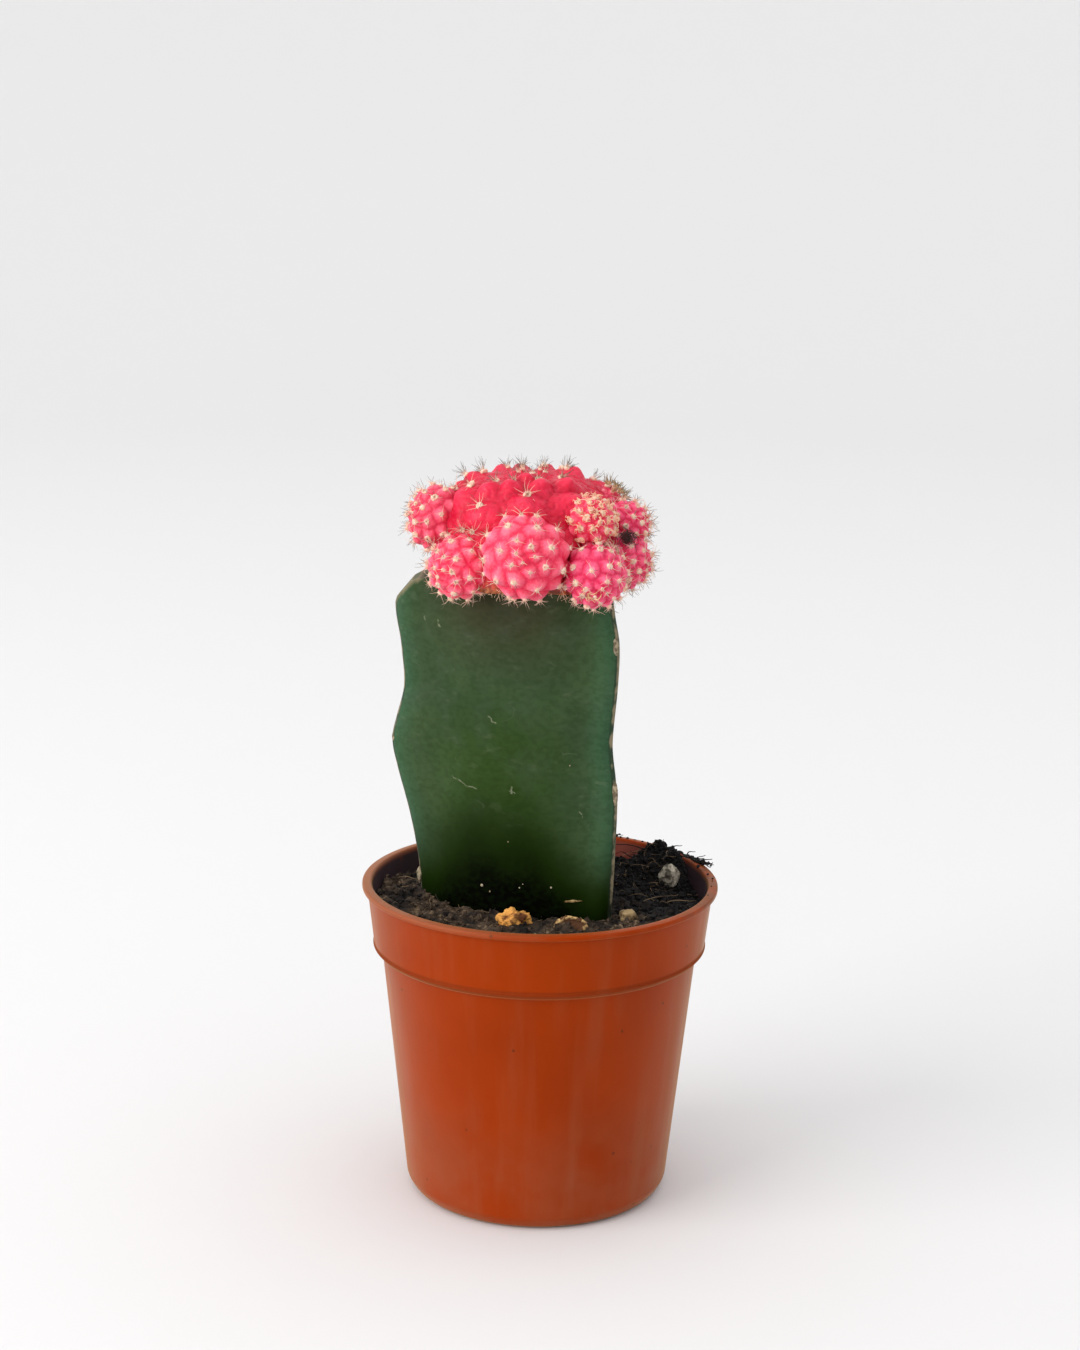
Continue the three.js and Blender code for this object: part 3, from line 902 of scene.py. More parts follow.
@dataclass(frozen=True)
class Pot:
    """The nursery pot: rolled rim, plain band, a step, a tapered body and a foot ring."""

    height: float = 49.5
    rim_radius: float = 27.5
    rim_depth: float = 0.95
    band_top: float = 26.7
    band_foot: float = 25.65
    band_height: float = 9.8
    bead: float = 0.16
    step: float = 1.0
    body_top: float = 24.4
    body_foot: float = 20.45
    corner: float = 1.9
    wall: float = 0.8
    ring: float = 16.6
    lift: float = 0.6
    drains: int = 4
    drain_radius: float = 2.2
    drain_circle: float = 10.5
    turns: int = 160
    crisp: float = 32

    def profile(self) -> list[Triple]:
        """Half section from the axis below to the axis above.

        Returns:
            Radius, height and rounding of each point.
        """
        foot = self.height - self.band_height
        body = foot - self.step
        floor = self.lift + self.wall
        return [
            (0, self.lift, 0),
            (self.ring - 0.4, self.lift, 0.15),
            (self.ring, 0, 0.12),
            (self.body_foot - 1.2, 0, 1.0),
            (self.body_foot, self.corner, 0.5),
            (self.body_top, body, 0.35),
            (self.band_foot - 0.35, body + 0.3, 0.2),
            (self.band_foot + self.bead, foot - 0.1, 0.07),
            (self.band_foot + self.bead, foot + 0.15, 0.07),
            (self.band_foot + 0.03, foot + 0.3, 0.1),
            (self.band_top, self.height - self.rim_depth - 0.12, 0.15),
            (self.rim_radius, self.height - self.rim_depth + 0.1, 0.18),
            (self.rim_radius, self.height - 0.1, 0.25),
            (self.band_top - 0.6, self.height, 0.3),
            (self.band_top - self.wall - 0.05, self.height - 0.9, 0),
            (self.band_foot - self.wall, foot, 0.5),
            (self.body_top - self.wall, body - 0.4, 0.5),
            (self.body_foot - self.wall, floor + 1.4, 0.7),
            (self.body_foot - 2.4 * self.wall, floor, 0.7),
            (0, floor, 0),
        ]

    def build(self) -> None:
        """Spins the wall, drills the drain holes and marks the inside."""
        points = self.profile()
        bm = section([point[:2] for point in points])
        for vert, (_, _, rounding) in zip(bm.verts[:], points):
            if rounding:
                bmesh.ops.bevel(
                    bm, geom=[vert], offset=rounding, affect="VERTICES", segments=4,
                    profile=0.5, material=-1,
                )
        spin(bm, self.turns)
        self.drill(bm)
        bm.normal_update()
        inside = bm.verts.layers.float.new("inside")
        for vert in bm.verts:
            if -vert.normal.xy.dot(vert.co.xy.normalized()) > 0.2:
                vert[inside] = smooth(self.height - 0.15, self.height - 0.9, vert.co.z)
        finished("pot_wall", bm, PlasticFinish().material(), Slot.POT, "pot", self.crisp)

    def drill(self, bm: Mesh) -> None:
        """Cuts the drain holes out of the floor.

        Args:
            bm: The pot, which keeps the cut shape.
        """
        drill = bmesh.new()
        for k in range(self.drains):
            angle = TURN * (k + 0.5) / self.drains
            place = (self.drain_circle * math.cos(angle), self.drain_circle * math.sin(angle), 1)
            bmesh.ops.create_cone(
                drill, cap_ends=True, segments=32, radius1=self.drain_radius,
                radius2=self.drain_radius, depth=6, matrix=Matrix.Translation(place),
            )
        bmesh.ops.recalc_face_normals(bm, faces=bm.faces)
        objects = []
        for name, shape in (("pot_blank", bm), ("pot_drill", drill)):
            mesh = bpy.data.meshes.new(name)
            shape.to_mesh(mesh)
            objects.append(placed(name, mesh))
        blank, cutter = objects
        cut = blank.modifiers.new("drains", "BOOLEAN")
        cut.operation, cut.solver, cut.object = "DIFFERENCE", "EXACT", cutter
        bpy.context.view_layer.update()
        drilled = blank.evaluated_get(bpy.context.evaluated_depsgraph_get()).to_mesh()
        bm.clear()
        bm.from_mesh(drilled)
        drill.free()
        for piece in objects:
            bpy.data.meshes.remove(piece.data)


# Stock


@dataclass(frozen=True)
class Rib:
    """One rib of the stem: its tip in plan, and how far the margin stands out at each height."""

    tip: Pair
    reach: tuple[Pair, ...]
    bevel_at: float

    def outward(self, middle: Vector) -> Vector:
        """Direction from the middle of the stem to the tip."""
        return (Vector(self.tip) - middle).normalized()


@dataclass(frozen=True)
class Scar:
    """Corky scar where an areole of the stem stood."""

    place: Triple
    size: Triple
    turn: float

    def cork(self, point: Vector) -> Vector:
        """Moulds a ball into the scar.

        Args:
            point: Point of the ball.

        Returns:
            Its place on the scar.
        """
        middle, turn = Vector(self.place), Euler((0, 0, self.turn)).to_matrix()
        lump = 1 + 0.16 * rough(point * 2 + middle, 1.1)
        return middle + turn @ scaled(point, self.size) * lump


@dataclass(frozen=True)
class Stock:
    """The stem: three ribs, wavy margins, a top trimmed round the graft."""

    middle: Pair = (-2.5, 1)
    butt: float = 28
    top: float = 97
    margin_width: float = 9
    bevel: float = 50
    corner_cuts: tuple[Pair, ...] = ((28, 0.9), (71, 4.5))
    rim_width: float = 0.3
    wave_depth: float = 0.22
    wave_length: float = 16
    levels: int = 128
    per_knot: int = 8
    crisp: float = 28
    plan: tuple[Pair, ...] = (
        (-21, 3.8), (-21.3, 2.4), (-20.4, 0.6),
        (-17.2, -2), (-11, -6.2), (-5.6, -8.6), (0.8, -10), (7, -11),
        (10.2, -11.9), (11.6, -11), (11.4, -9.2),
        (8.8, -4.5), (7.6, 2.5), (7.4, 9.5),
        (6.4, 15.4), (4.4, 17.2), (2.4, 15.6),
        (-1.6, 10.4), (-8.4, 7), (-15.4, 5.6),
    )
    ribs: tuple[Rib, ...] = (
        Rib(
            (-21.3, 2.4),
            ((46, -2.9), (50, -2.6), (56.4, -1.6), (60.4, -0.7), (66.8, 1), (71.1, 1.8),
             (74.7, 1.2), (79.5, 0.1), (85.8, 0.4), (91, 1.2), (97, 1.2)),
            16.9,
        ),
        Rib(
            (11.6, -11),
            ((46, -1.1), (56, -0.6), (64.6, -0.3), (68, -0.7), (73.8, -1.6), (83, -0.7),
             (89, -0.6), (93.1, -1.5), (97, -2.2)),
            17.1,
        ),
        Rib(
            (4.4, 17.2),
            ((46, -0.8), (56, 0.4), (67, -1), (79, 0.6), (90, -0.6), (97, -0.4)),
            15.2,
        ),
    )
    scars: tuple[Scar, ...] = (
        Scar((10.6, -11.0, 88.8), (0.5, 0.45, 1.5), 0.5),
        Scar((11.0, -11.0, 66.3), (0.45, 0.45, 1.8), 0.5),
        Scar((-22.75, 2.4, 71.4), (0.35, 0.7, 0.8), 0.2),
        Scar((-18.75, 2.2, 49.4), (0.4, 0.7, 1.2), 0.4),
        Scar((4.3, 17.6, 79), (0.7, 0.35, 1.1), 0.0),
        Scar((4.2, 17.5, 56), (0.7, 0.35, 1.3), 0.0),
    )
    grains: tuple[Triple, ...] = (
        (-8.85, 50.7, 0.2), (-7.6, 49.9, 0.13), (-3.1, 51.0, 0.1), (1.67, 51.4, 0.15),
        (4.22, 70.5, 0.1), (-4.9, 58.1, 0.1), (-2.6, 51.6, 0.08),
    )
    shard: Pair = (5.4, 49.4)

    def front(self, x: float, height: float) -> Vector:
        """Point of the front face.

        Args:
            x: Place across the face.
            height: Height on the stem.

        Returns:
            The point.
        """
        points = [point + self.shift(point, height) for point in self.outline()]
        crossings = []
        for first, second in zip(points, points[1:] + points[:1]):
            if (first.x - x) * (second.x - x) <= 0 and first.x != second.x:
                crossings.append(first.lerp(second, (x - first.x) / (second.x - first.x)).y)
        return Vector((x, min(crossings), height))

    def outline(self) -> list[Vector]:
        """Draws a smooth closed curve through the plan.

        Returns:
            Its points.
        """
        knots = [Vector(knot) for knot in self.plan]
        count = len(knots)
        points = []
        for k in range(count):
            p0, p1, p2, p3 = (knots[(k + i - 1) % count] for i in range(4))
            d0, d1, d2 = (math.sqrt((b - a).length) for a, b in ((p0, p1), (p1, p2), (p2, p3)))
            leave = ((p1 - p0) / d0 - (p2 - p0) / (d0 + d1) + (p2 - p1) / d1) * d1
            reach = ((p2 - p1) / d1 - (p3 - p1) / (d1 + d2) + (p3 - p2) / d2) * d1
            for i in range(self.per_knot):
                t = i / self.per_knot
                point = p1.lerp(p2, t * t * (3 - 2 * t))
                points.append(point + leave * (t * (1 - t) ** 2) + reach * (t * t * (t - 1)))
        return points

    def shift(self, point: Vector, height: float) -> Vector:
        """How far the margins carry a point of the plan outwards.

        Args:
            point: Point of the plan.
            height: Height on the stem.

        Returns:
            The shift in plan.
        """
        shift = Vector((0, 0))
        for rib in self.ribs:
            near = max(0.0, 1 - (Vector(rib.tip) - point).length / self.margin_width)
            swell = near * (2 - near) * curve_reading(rib.reach, height)
            shift += rib.outward(Vector(self.middle)) * swell
        return shift

    def side(self) -> Mesh:
        """Wraps a grid round the plan and marks it.

        Returns:
            The standing skin.
        """
        plan = self.outline()
        count = len(plan)
        bm = bmesh.new()
        bmesh.ops.create_grid(bm, x_segments=count, y_segments=self.levels, size=1)
        names = ("margin", "margin_near", "middle", "cut")
        margin, near, middle, _ = [bm.verts.layers.float.new(name) for name in names]
        for vert in bm.verts:
            height = self.butt + (self.top - self.butt) * (vert.co.y + 1) / 2
            point = plan[round((vert.co.x + 1) / 2 * count) % count]
            gap = min((Vector(rib.tip) - point).length for rib in self.ribs)
            vert[margin] = 1 - smooth(0.3, 1.3, gap)
            # This mark carries the painted sheen of the margins.
            vert[near] = (1 - smooth(0.5, 5.5, gap)) * smooth(48, 60, height)
            vert[middle] = smooth(2, 16, gap)
            place = point + self.shift(point, height)
            wave = self.wave_depth * rough(Vector((*place, height)), self.wave_length, 2)
            place += (place - Vector(self.middle)).normalized() * wave
            vert.co = Vector((place.x, place.y, height))
        bmesh.ops.remove_doubles(bm, verts=bm.verts, dist=SEAM)
        bmesh.ops.holes_fill(bm, edges=[edge for edge in bm.edges if edge.is_boundary])
        return bm

    def trim(self, bm: Mesh) -> None:
        """Cuts the top corners off as the grafter did, with a corky edge round each cut.

        Args:
            bm: The stem.
        """
        cut = bm.verts.layers.float["cut"]
        slope = math.radians(self.bevel)
        middle = Vector(self.middle)
        for rib in self.ribs:
            outward = rib.outward(middle)
            for tilt, along in ((self.bevel, 0.0), *self.corner_cuts):
                angle = math.radians(tilt)
                edge = middle + outward * (rib.bevel_at + along * math.cos(slope))
                bmesh.ops.bisect_plane(
                    bm, geom=bm.verts[:] + bm.edges[:] + bm.faces[:],
                    plane_co=(edge.x, edge.y, self.top - along * math.sin(slope)),
                    plane_no=(*(outward * math.sin(angle)), math.cos(angle)), clear_outer=True,
                )
                rims = [e for e in bm.edges if e.is_boundary]
                faces = bmesh.ops.holes_fill(bm, edges=rims)["faces"]
                self.mark(faces, cut, 1.0)
                bmesh.ops.inset_region(
                    bm, faces=faces, thickness=self.rim_width, use_even_offset=True
                )
                self.mark(faces, cut, 0.3)
        for vert in [vert for vert in bm.verts if vert[cut] == 1.0]:
            for beside in [edge.other_vert(vert) for edge in vert.link_edges]:
                if beside[cut] < 0.1:
                    beside[cut] = 0.5

    def mark(self, faces: Sequence[bmesh.types.BMFace], cut: Any, share: float) -> None:
        """Marks how corky some faces are.

        Args:
            faces: The faces.
            cut: Layer of the mark.
            share: Share of cork.
        """
        for face in faces:
            for vert in face.verts:
                vert[cut] = share

    def build(self) -> None:
        """Makes the stem, its scars, and the grains and the shard that stick to its foot."""
        stem = self.side()
        self.trim(stem)
        finished("stock_stem", stem, StockFinish().material(), Slot.STOCK, "rootstock", self.crisp)
        cork, grains, shard = marked("hollow_brown_and_shade"), marked("hollow_brown_and_shade"), marked("hollow_brown_and_shade")
        for scar in self.scars:
            add_ball(cork, 4, 1, scar.cork)
        for x, height, size in self.grains:
            place = self.front(x, height)
            add_crumb(grains, 3, size, place, place, lumps=0.3, pitch=1.4)
        middle = self.front(*self.shard)

        def splinter(point: Vector) -> Vector:
            """Flattens a ball into the shard.

            Args:
                point: Point of the ball.

            Returns:
                Its place on the shard.
            """
            thick = 0.1 + 0.13 * smooth(0.3, -0.5, point.x)
            shape = Vector((point.x * 1.5, point.y * 0.2, point.z * thick + point.x * 0.1))
            return middle + shape * (1 + 0.4 * noise.noise(point * 2.2))

        add_ball(shard, 4, 1, splinter)
        for name, bm, finish, face, pit, slot in (
            ("stock_scars", cork, "cork", (0.36, 0.29, 0.19), (0.13, 0.1, 0.06), Slot.STOCK),
            (
                "stock_grains", grains, "pale_grain",
                (0.6, 0.53, 0.38), (0.3, 0.22, 0.12), Slot.STOCK,
            ),
            ("stock_shard", shard, "shard_tan", (0.42, 0.3, 0.13), (0.16, 0.09, 0.03), Slot.BARK),
        ):
            finished(name, bm, ChipFinish(finish, face, pit, 0.3).material(), slot)


# Heads


@dataclass(frozen=True)
class Areole:
    """Place on a head where a woolly pad and its spines stand."""

    towards: Vector
    size: float
    swell: float = 0.0


@dataclass(frozen=True)
class Head:
    """A round head on an axis of its own, measured from its middle."""

    node: str
    centre: Triple
    radius: float
    height: float
    axis: Triple
    flesh: Flesh
    seen: tuple[Pair, ...] = ()
    fineness: int = 6
    spines: int = 8
    spine_length: float = 1.25
    fullness: float = 1.0
    relief_depth: float = 0.135
    roundness: float = 0.0
    crown_dip: float = 0.03
    crown_reach: float = 15
    horn: float = 0.0
    crumple: float = 0.0
    bristles: bool = False
    curly: bool = False
    lowest_row: float = 140
    row_step: float = 6.2
    row_start: float = 0.6
    row_power: float = 0.8
    gap_at_crown: float = 9.5
    gap_growth: float = 0.24
    widest_gap: float = 24.0
    gap_share: float = 0.8
    wander: float = 0.045
    wander_pitch: float = 2.3
    full_gap: float = 0.4
    horn_width: float = 0.13
    unevenness: float = 0.012
    uneven_pitch: float = 5
    fold_pitches: Pair = (9, 21)
    fold_limit: float = 0.3

    def frame(self) -> Matrix:
        """Turns a direction of the head's own into one of the plant's.

        Returns:
            The turn.
        """
        axis = Vector(self.axis).normalized()
        lead = Vector((0, -1, 0)) if abs(axis.z) > 0.9 else Vector((0, 0, 1))
        first = (lead - axis * lead.dot(axis)).normalized()
        return Matrix((first, axis.cross(first), axis)).transposed()

    def reach(self, towards: Vector) -> float:
        """Measures the head along a direction.

        Args:
            towards: Direction of the head's own.

        Returns:
            Distance from the middle to the smooth skin.
        """
        power = 2 / self.fullness
        out = math.hypot(towards.x, towards.y)
        share = (out / self.radius) ** power + (abs(towards.z) / self.height) ** power
        return share ** (-1 / power)

    def holds(self, point: Vector, swell: float = 0.96) -> bool:
        """Whether a point of the plant lies within the head, or a share of it."""
        local = self.frame().inverted() @ (point - Vector(self.centre))
        return local.length < 0.01 or local.length < swell * self.reach(local.normalized())

    def areoles(self) -> list[Areole]:
        """Places the areoles: those seen, and the rest in spiral order between them.

        Returns:
            The areoles.
        """
        places = [polar(*seen) for seen in self.seen]
        k, down = 0, 0.0
        while (down := self.row_step * (k + self.row_start) ** self.row_power) <= self.lowest_row:
            place = polar(math.degrees(GOLDEN_ANGLE * k), down)
            gap = min(self.widest_gap, self.gap_at_crown + self.gap_growth * down)
            if all(math.degrees(place.angle(other)) > self.gap_share * gap for other in places):
                places.append(place)
            k += 1
        return [Areole(at, 0.62 + 0.38 * smooth(4, 34, angle_down(at))) for at in places]

    def lobe(self, areole: Areole) -> Vector:
        """Middle of the tubercle that carries an areole."""
        return areole.towards


class Skin:
    """Skin of a head, raised into a low cone under each areole, with grooves half way between."""

    def __init__(self, head: Head) -> None:
        """Sets the areoles of a head in a search tree.

        Args:
            head: The head.
        """
        self.head = head
        self.areoles = head.areoles()
        self.tree = KDTree(len(self.areoles))
        for k, areole in enumerate(self.areoles):
            self.tree.insert(head.lobe(areole), k)
        self.tree.balance()

    def read(self, towards: Vector) -> Triple:
        """Skin along a direction.

        Args:
            towards: Direction of the head's own.

        Returns:
            Distance from the middle, closeness to a groove, closeness to the crown.
        """
        head, centre = self.head, Vector(self.head.centre)
        wobble = sway(towards * head.wander_pitch + centre) * head.wander
        (_, nearest, near), (_, _, far) = self.tree.find_n((towards + wobble).normalized(), 2)
        groove = 2 * near / (near + far)
        dome = math.sqrt(max(0.0, 1 - head.roundness * groove**2))
        bulge = dome if head.roundness else 1 - groove**1.5
        depth = head.relief_depth * min(1.0, (near + far) / head.full_gap)
        down = angle_down(towards)
        crown = 1 - smooth(2, head.crown_reach, down)
        swell = 1 - depth * (1 - bulge) - head.crown_dip * crown
        peak = math.exp(-((near / head.horn_width) ** 2))
        swell += head.horn * peak * (1 - 0.6 * smooth(40, 75, down))
        swell += self.areoles[nearest].swell * max(0.0, 1 - groove**2)
        swell += head.unevenness * noise.noise(towards * head.uneven_pitch + centre)
        if head.crumple:
            large, small = (abs(noise.noise(towards * pitch)) for pitch in head.fold_pitches)
            swell -= head.crumple * max(0.0, head.fold_limit - (large + 0.5 * small))
        return head.reach(towards) * swell, groove, crown

    def root(self, areole: Areole) -> Vector:
        """Place of an areole on the plant."""
        distance = self.read(areole.towards)[0]
        return Vector(self.head.centre) + self.head.frame() @ (areole.towards * distance)

    def outwards(self, areole: Areole) -> Vector:
        """Direction on the plant in which an areole looks."""
        return (self.head.frame() @ areole.towards).normalized()


@dataclass(frozen=True)
class MotherHead(Head):
    """The flattened head in the middle, with a round lobe below each areole of its ribs."""

    ribs: int = 10
    first_rib: float = 2.0
    even_rows: tuple[float, ...] = (13, 27, 45, 68, 90, 110)
    odd_rows: tuple[float, ...] = (18, 31, 57, 80, 101)
    bare: tuple[Triple, ...] = ((34, 54, 0), (-27, 111, 0.2), (23, 113, 0.2))
    chin: float = 8.0
    rib_wander: float = 5
    rib_gaps: Pair = (13, 25)

    def areoles(self) -> list[Areole]:
        """Places the areoles: those seen, and the rest along the ribs.

        Returns:
            The areoles, and after them the lobes that carry none.
        """
        places = [polar(*seen) for seen in self.seen]
        bare = [Areole(polar(round_, down), 0.0, swell) for round_, down, swell in self.bare]
        hidden = [areole.towards for areole in bare]
        for rib in range(self.ribs):
            for row in self.odd_rows if rib % 2 else self.even_rows:
                wander = self.rib_wander * noise.noise(Vector((rib * 3.1, row * 0.2, 5)))
                place = polar(self.first_rib + 360 * rib / self.ribs + wander, row)
                least, most = self.rib_gaps
                space = least + (most - least) * smooth(20, 50, row)
                if all(math.degrees(place.angle(other)) > space for other in places + hidden):
                    places.append(place)
        return [Areole(at, 0.95 + 0.4 * smooth(15, 45, self.down(at))) for at in places] + bare

    def down(self, towards: Vector) -> float:
        """Angle of a direction down from the top, in degrees."""
        return math.degrees(towards.angle(Vector((0, 0, 1))))

    def lobe(self, areole: Areole) -> Vector:
        """Finds the lobe of an areole.

        Args:
            areole: The areole.

        Returns:
            Direction of its middle, a little further down than the areole.
        """
        axis = Vector((0, 0, 1)).cross(areole.towards).normalized()
        drop = math.radians(self.chin * smooth(10, 45, self.down(areole.towards)))
        return Matrix.Rotation(drop, 3, axis) @ areole.towards


MOTHER = MotherHead(
    "scion_mother", (-2.1, 0, 104), 13.3, 9.2, (0, 0, 1), Flesh.CORAL,
    seen=(
        (-3, 54.8), (-38.3, 66.2), (-80.3, 71.2), (-67.5, 52.8), (-40.9, 43), (-22, 38),
        (10, 34.3), (41.4, 36.8), (-9.3, 26.2), (-50.9, 83.7), (-40.4, 83.1), (24, 84),
        (-110, 42), (-148, 38), (-168, 38), (165, 38), (137, 38), (108, 52), (-108, 52),
        (-95, 62),
    ),
    fineness=7, spines=12, spine_length=1.35, fullness=0.76, relief_depth=0.09, roundness=0.72,
    crown_dip=0.15, crown_reach=34, horn=0.115, crumple=0.085,
)

OFFSETS = (
    Head(
        "offset_front", (-2.7, -13, 102.6), 6.7, 7, (0.04, -1, 0.06), Flesh.PINK,
        seen=(
            (69, 37.1), (27, 29.7), (101, 19.6), (97.5, 5.6), (-165.1, 12.4), (-12.5, 19.4),
            (-53.8, 11.3), (-105.6, 23), (-60.1, 35.6), (-160.8, 41.5), (147.6, 31.5),
            (156.7, 69.5), (-16.3, 47), (-106.7, 54.4), (-13.2, 70.9), (29.6, 56.5),
        ),
    ),
    Head(
        "offset_left_low", (-12.4, -9.2, 100.2), 5, 5, (-0.55, -0.8, -0.05), Flesh.PINK,
        seen=(
            (-3.1, 61.6), (23.5, 40.7), (-48.1, 70.1), (-9.1, 29.2), (-44.7, 38.8),
            (59.7, 15.4), (-43.5, 9.5), (-78.4, 23.3), (-98.2, 53.4), (160.1, 23.3),
            (-115, 31.6), (-155.2, 44), (-159.7, 83.4),
        ),
    ),
    Head("offset_left_high", (-16.4, 0.2, 105.9), 5.2, 4.3, (-0.9, -0.35, 0.25), Flesh.RUSTY),
    Head(
        "offset_right_low", (7.4, -12.8, 99.9), 4.9, 5.2, (0.1, -0.9, -0.35), Flesh.MAGENTA,
        seen=(
            (-4.6, 83.7), (19.8, 41.5), (73.2, 23.3), (-28.9, 10.1), (153.8, 40.9),
            (101.3, 69), (54, 65.9), (-24, 50.7),
        ),
    ),
    Head("offset_right", (11.7, -5.6, 100.9), 4.6, 4.4, (0.85, -0.5, -0.1), Flesh.MAGENTA),
    Head(
        "offset_right_spiny", (6.5, -9.5, 107.2), 3.9, 3.7, (0.3, -0.8, 0.5), Flesh.PINK,
        spine_length=0.8, curly=True,
    ),
    Head("offset_right_high", (11.9, -3.4, 105.9), 3.8, 3.9, (0.85, -0.35, 0.35), Flesh.MAGENTA),
    Head(
        "offset_crown", (9, 1.4, 108.4), 2.7, 2.7, (0.6, 0.1, 0.8), Flesh.RUSTY,
        fineness=5, spines=12, spine_length=1.5, bristles=True,
    ),
    Head("offset_back_right", (9.2, 9.6, 101.4), 5.4, 5.4, (0.7, 0.7, 0.05), Flesh.PINK),
    Head("offset_back", (-2, 13, 102.6), 6.2, 6.2, (0, 1, 0.1), Flesh.PINK),
    Head("offset_back_left", (-11.4, 9.6, 101.4), 5, 5, (-0.7, 0.65, 0), Flesh.PINK),
    Head(
        "offset_left_back", (-13.3, 4.6, 100.4), 3.7, 3.7, (-0.95, 0.2, -0.1), Flesh.RUSTY,
        fineness=5,
    ),
)


@dataclass(frozen=True)
class Clump:
    """A matted tuft of hairs caught between the heads."""

    name: str
    middle: Triple
    spread: Triple
    count: int
    length: float
    radius: float
    kind: Spines

    def mesh(self, draw: random.Random) -> Mesh:
        """Makes the tuft.

        Args:
            draw: Source of the small differences.

        Returns:
            Its mesh.
        """
        stamp = hair_stamp(5, 0.4)
        bm = marked("along")
        for _ in range(self.count):
            root = Vector(self.middle) + Vector([draw.gauss(0, reach) for reach in self.spread])
            direction = Vector([draw.gauss(0.1, 0.6), -0.5, draw.gauss(0, 0.6)]).normalized()
            bend = Vector([draw.gauss(0, 0.4), draw.gauss(0, 0.25), draw.gauss(0, 0.4)])
            length = self.length * draw.uniform(0.6, 1.3)
            hair = Hair(root, direction, bend, length, self.radius, draw.uniform(-0.2, 0.2))
            stamp.press(bm, hair.rule(), "along")
        stamp.discard()
        return bm


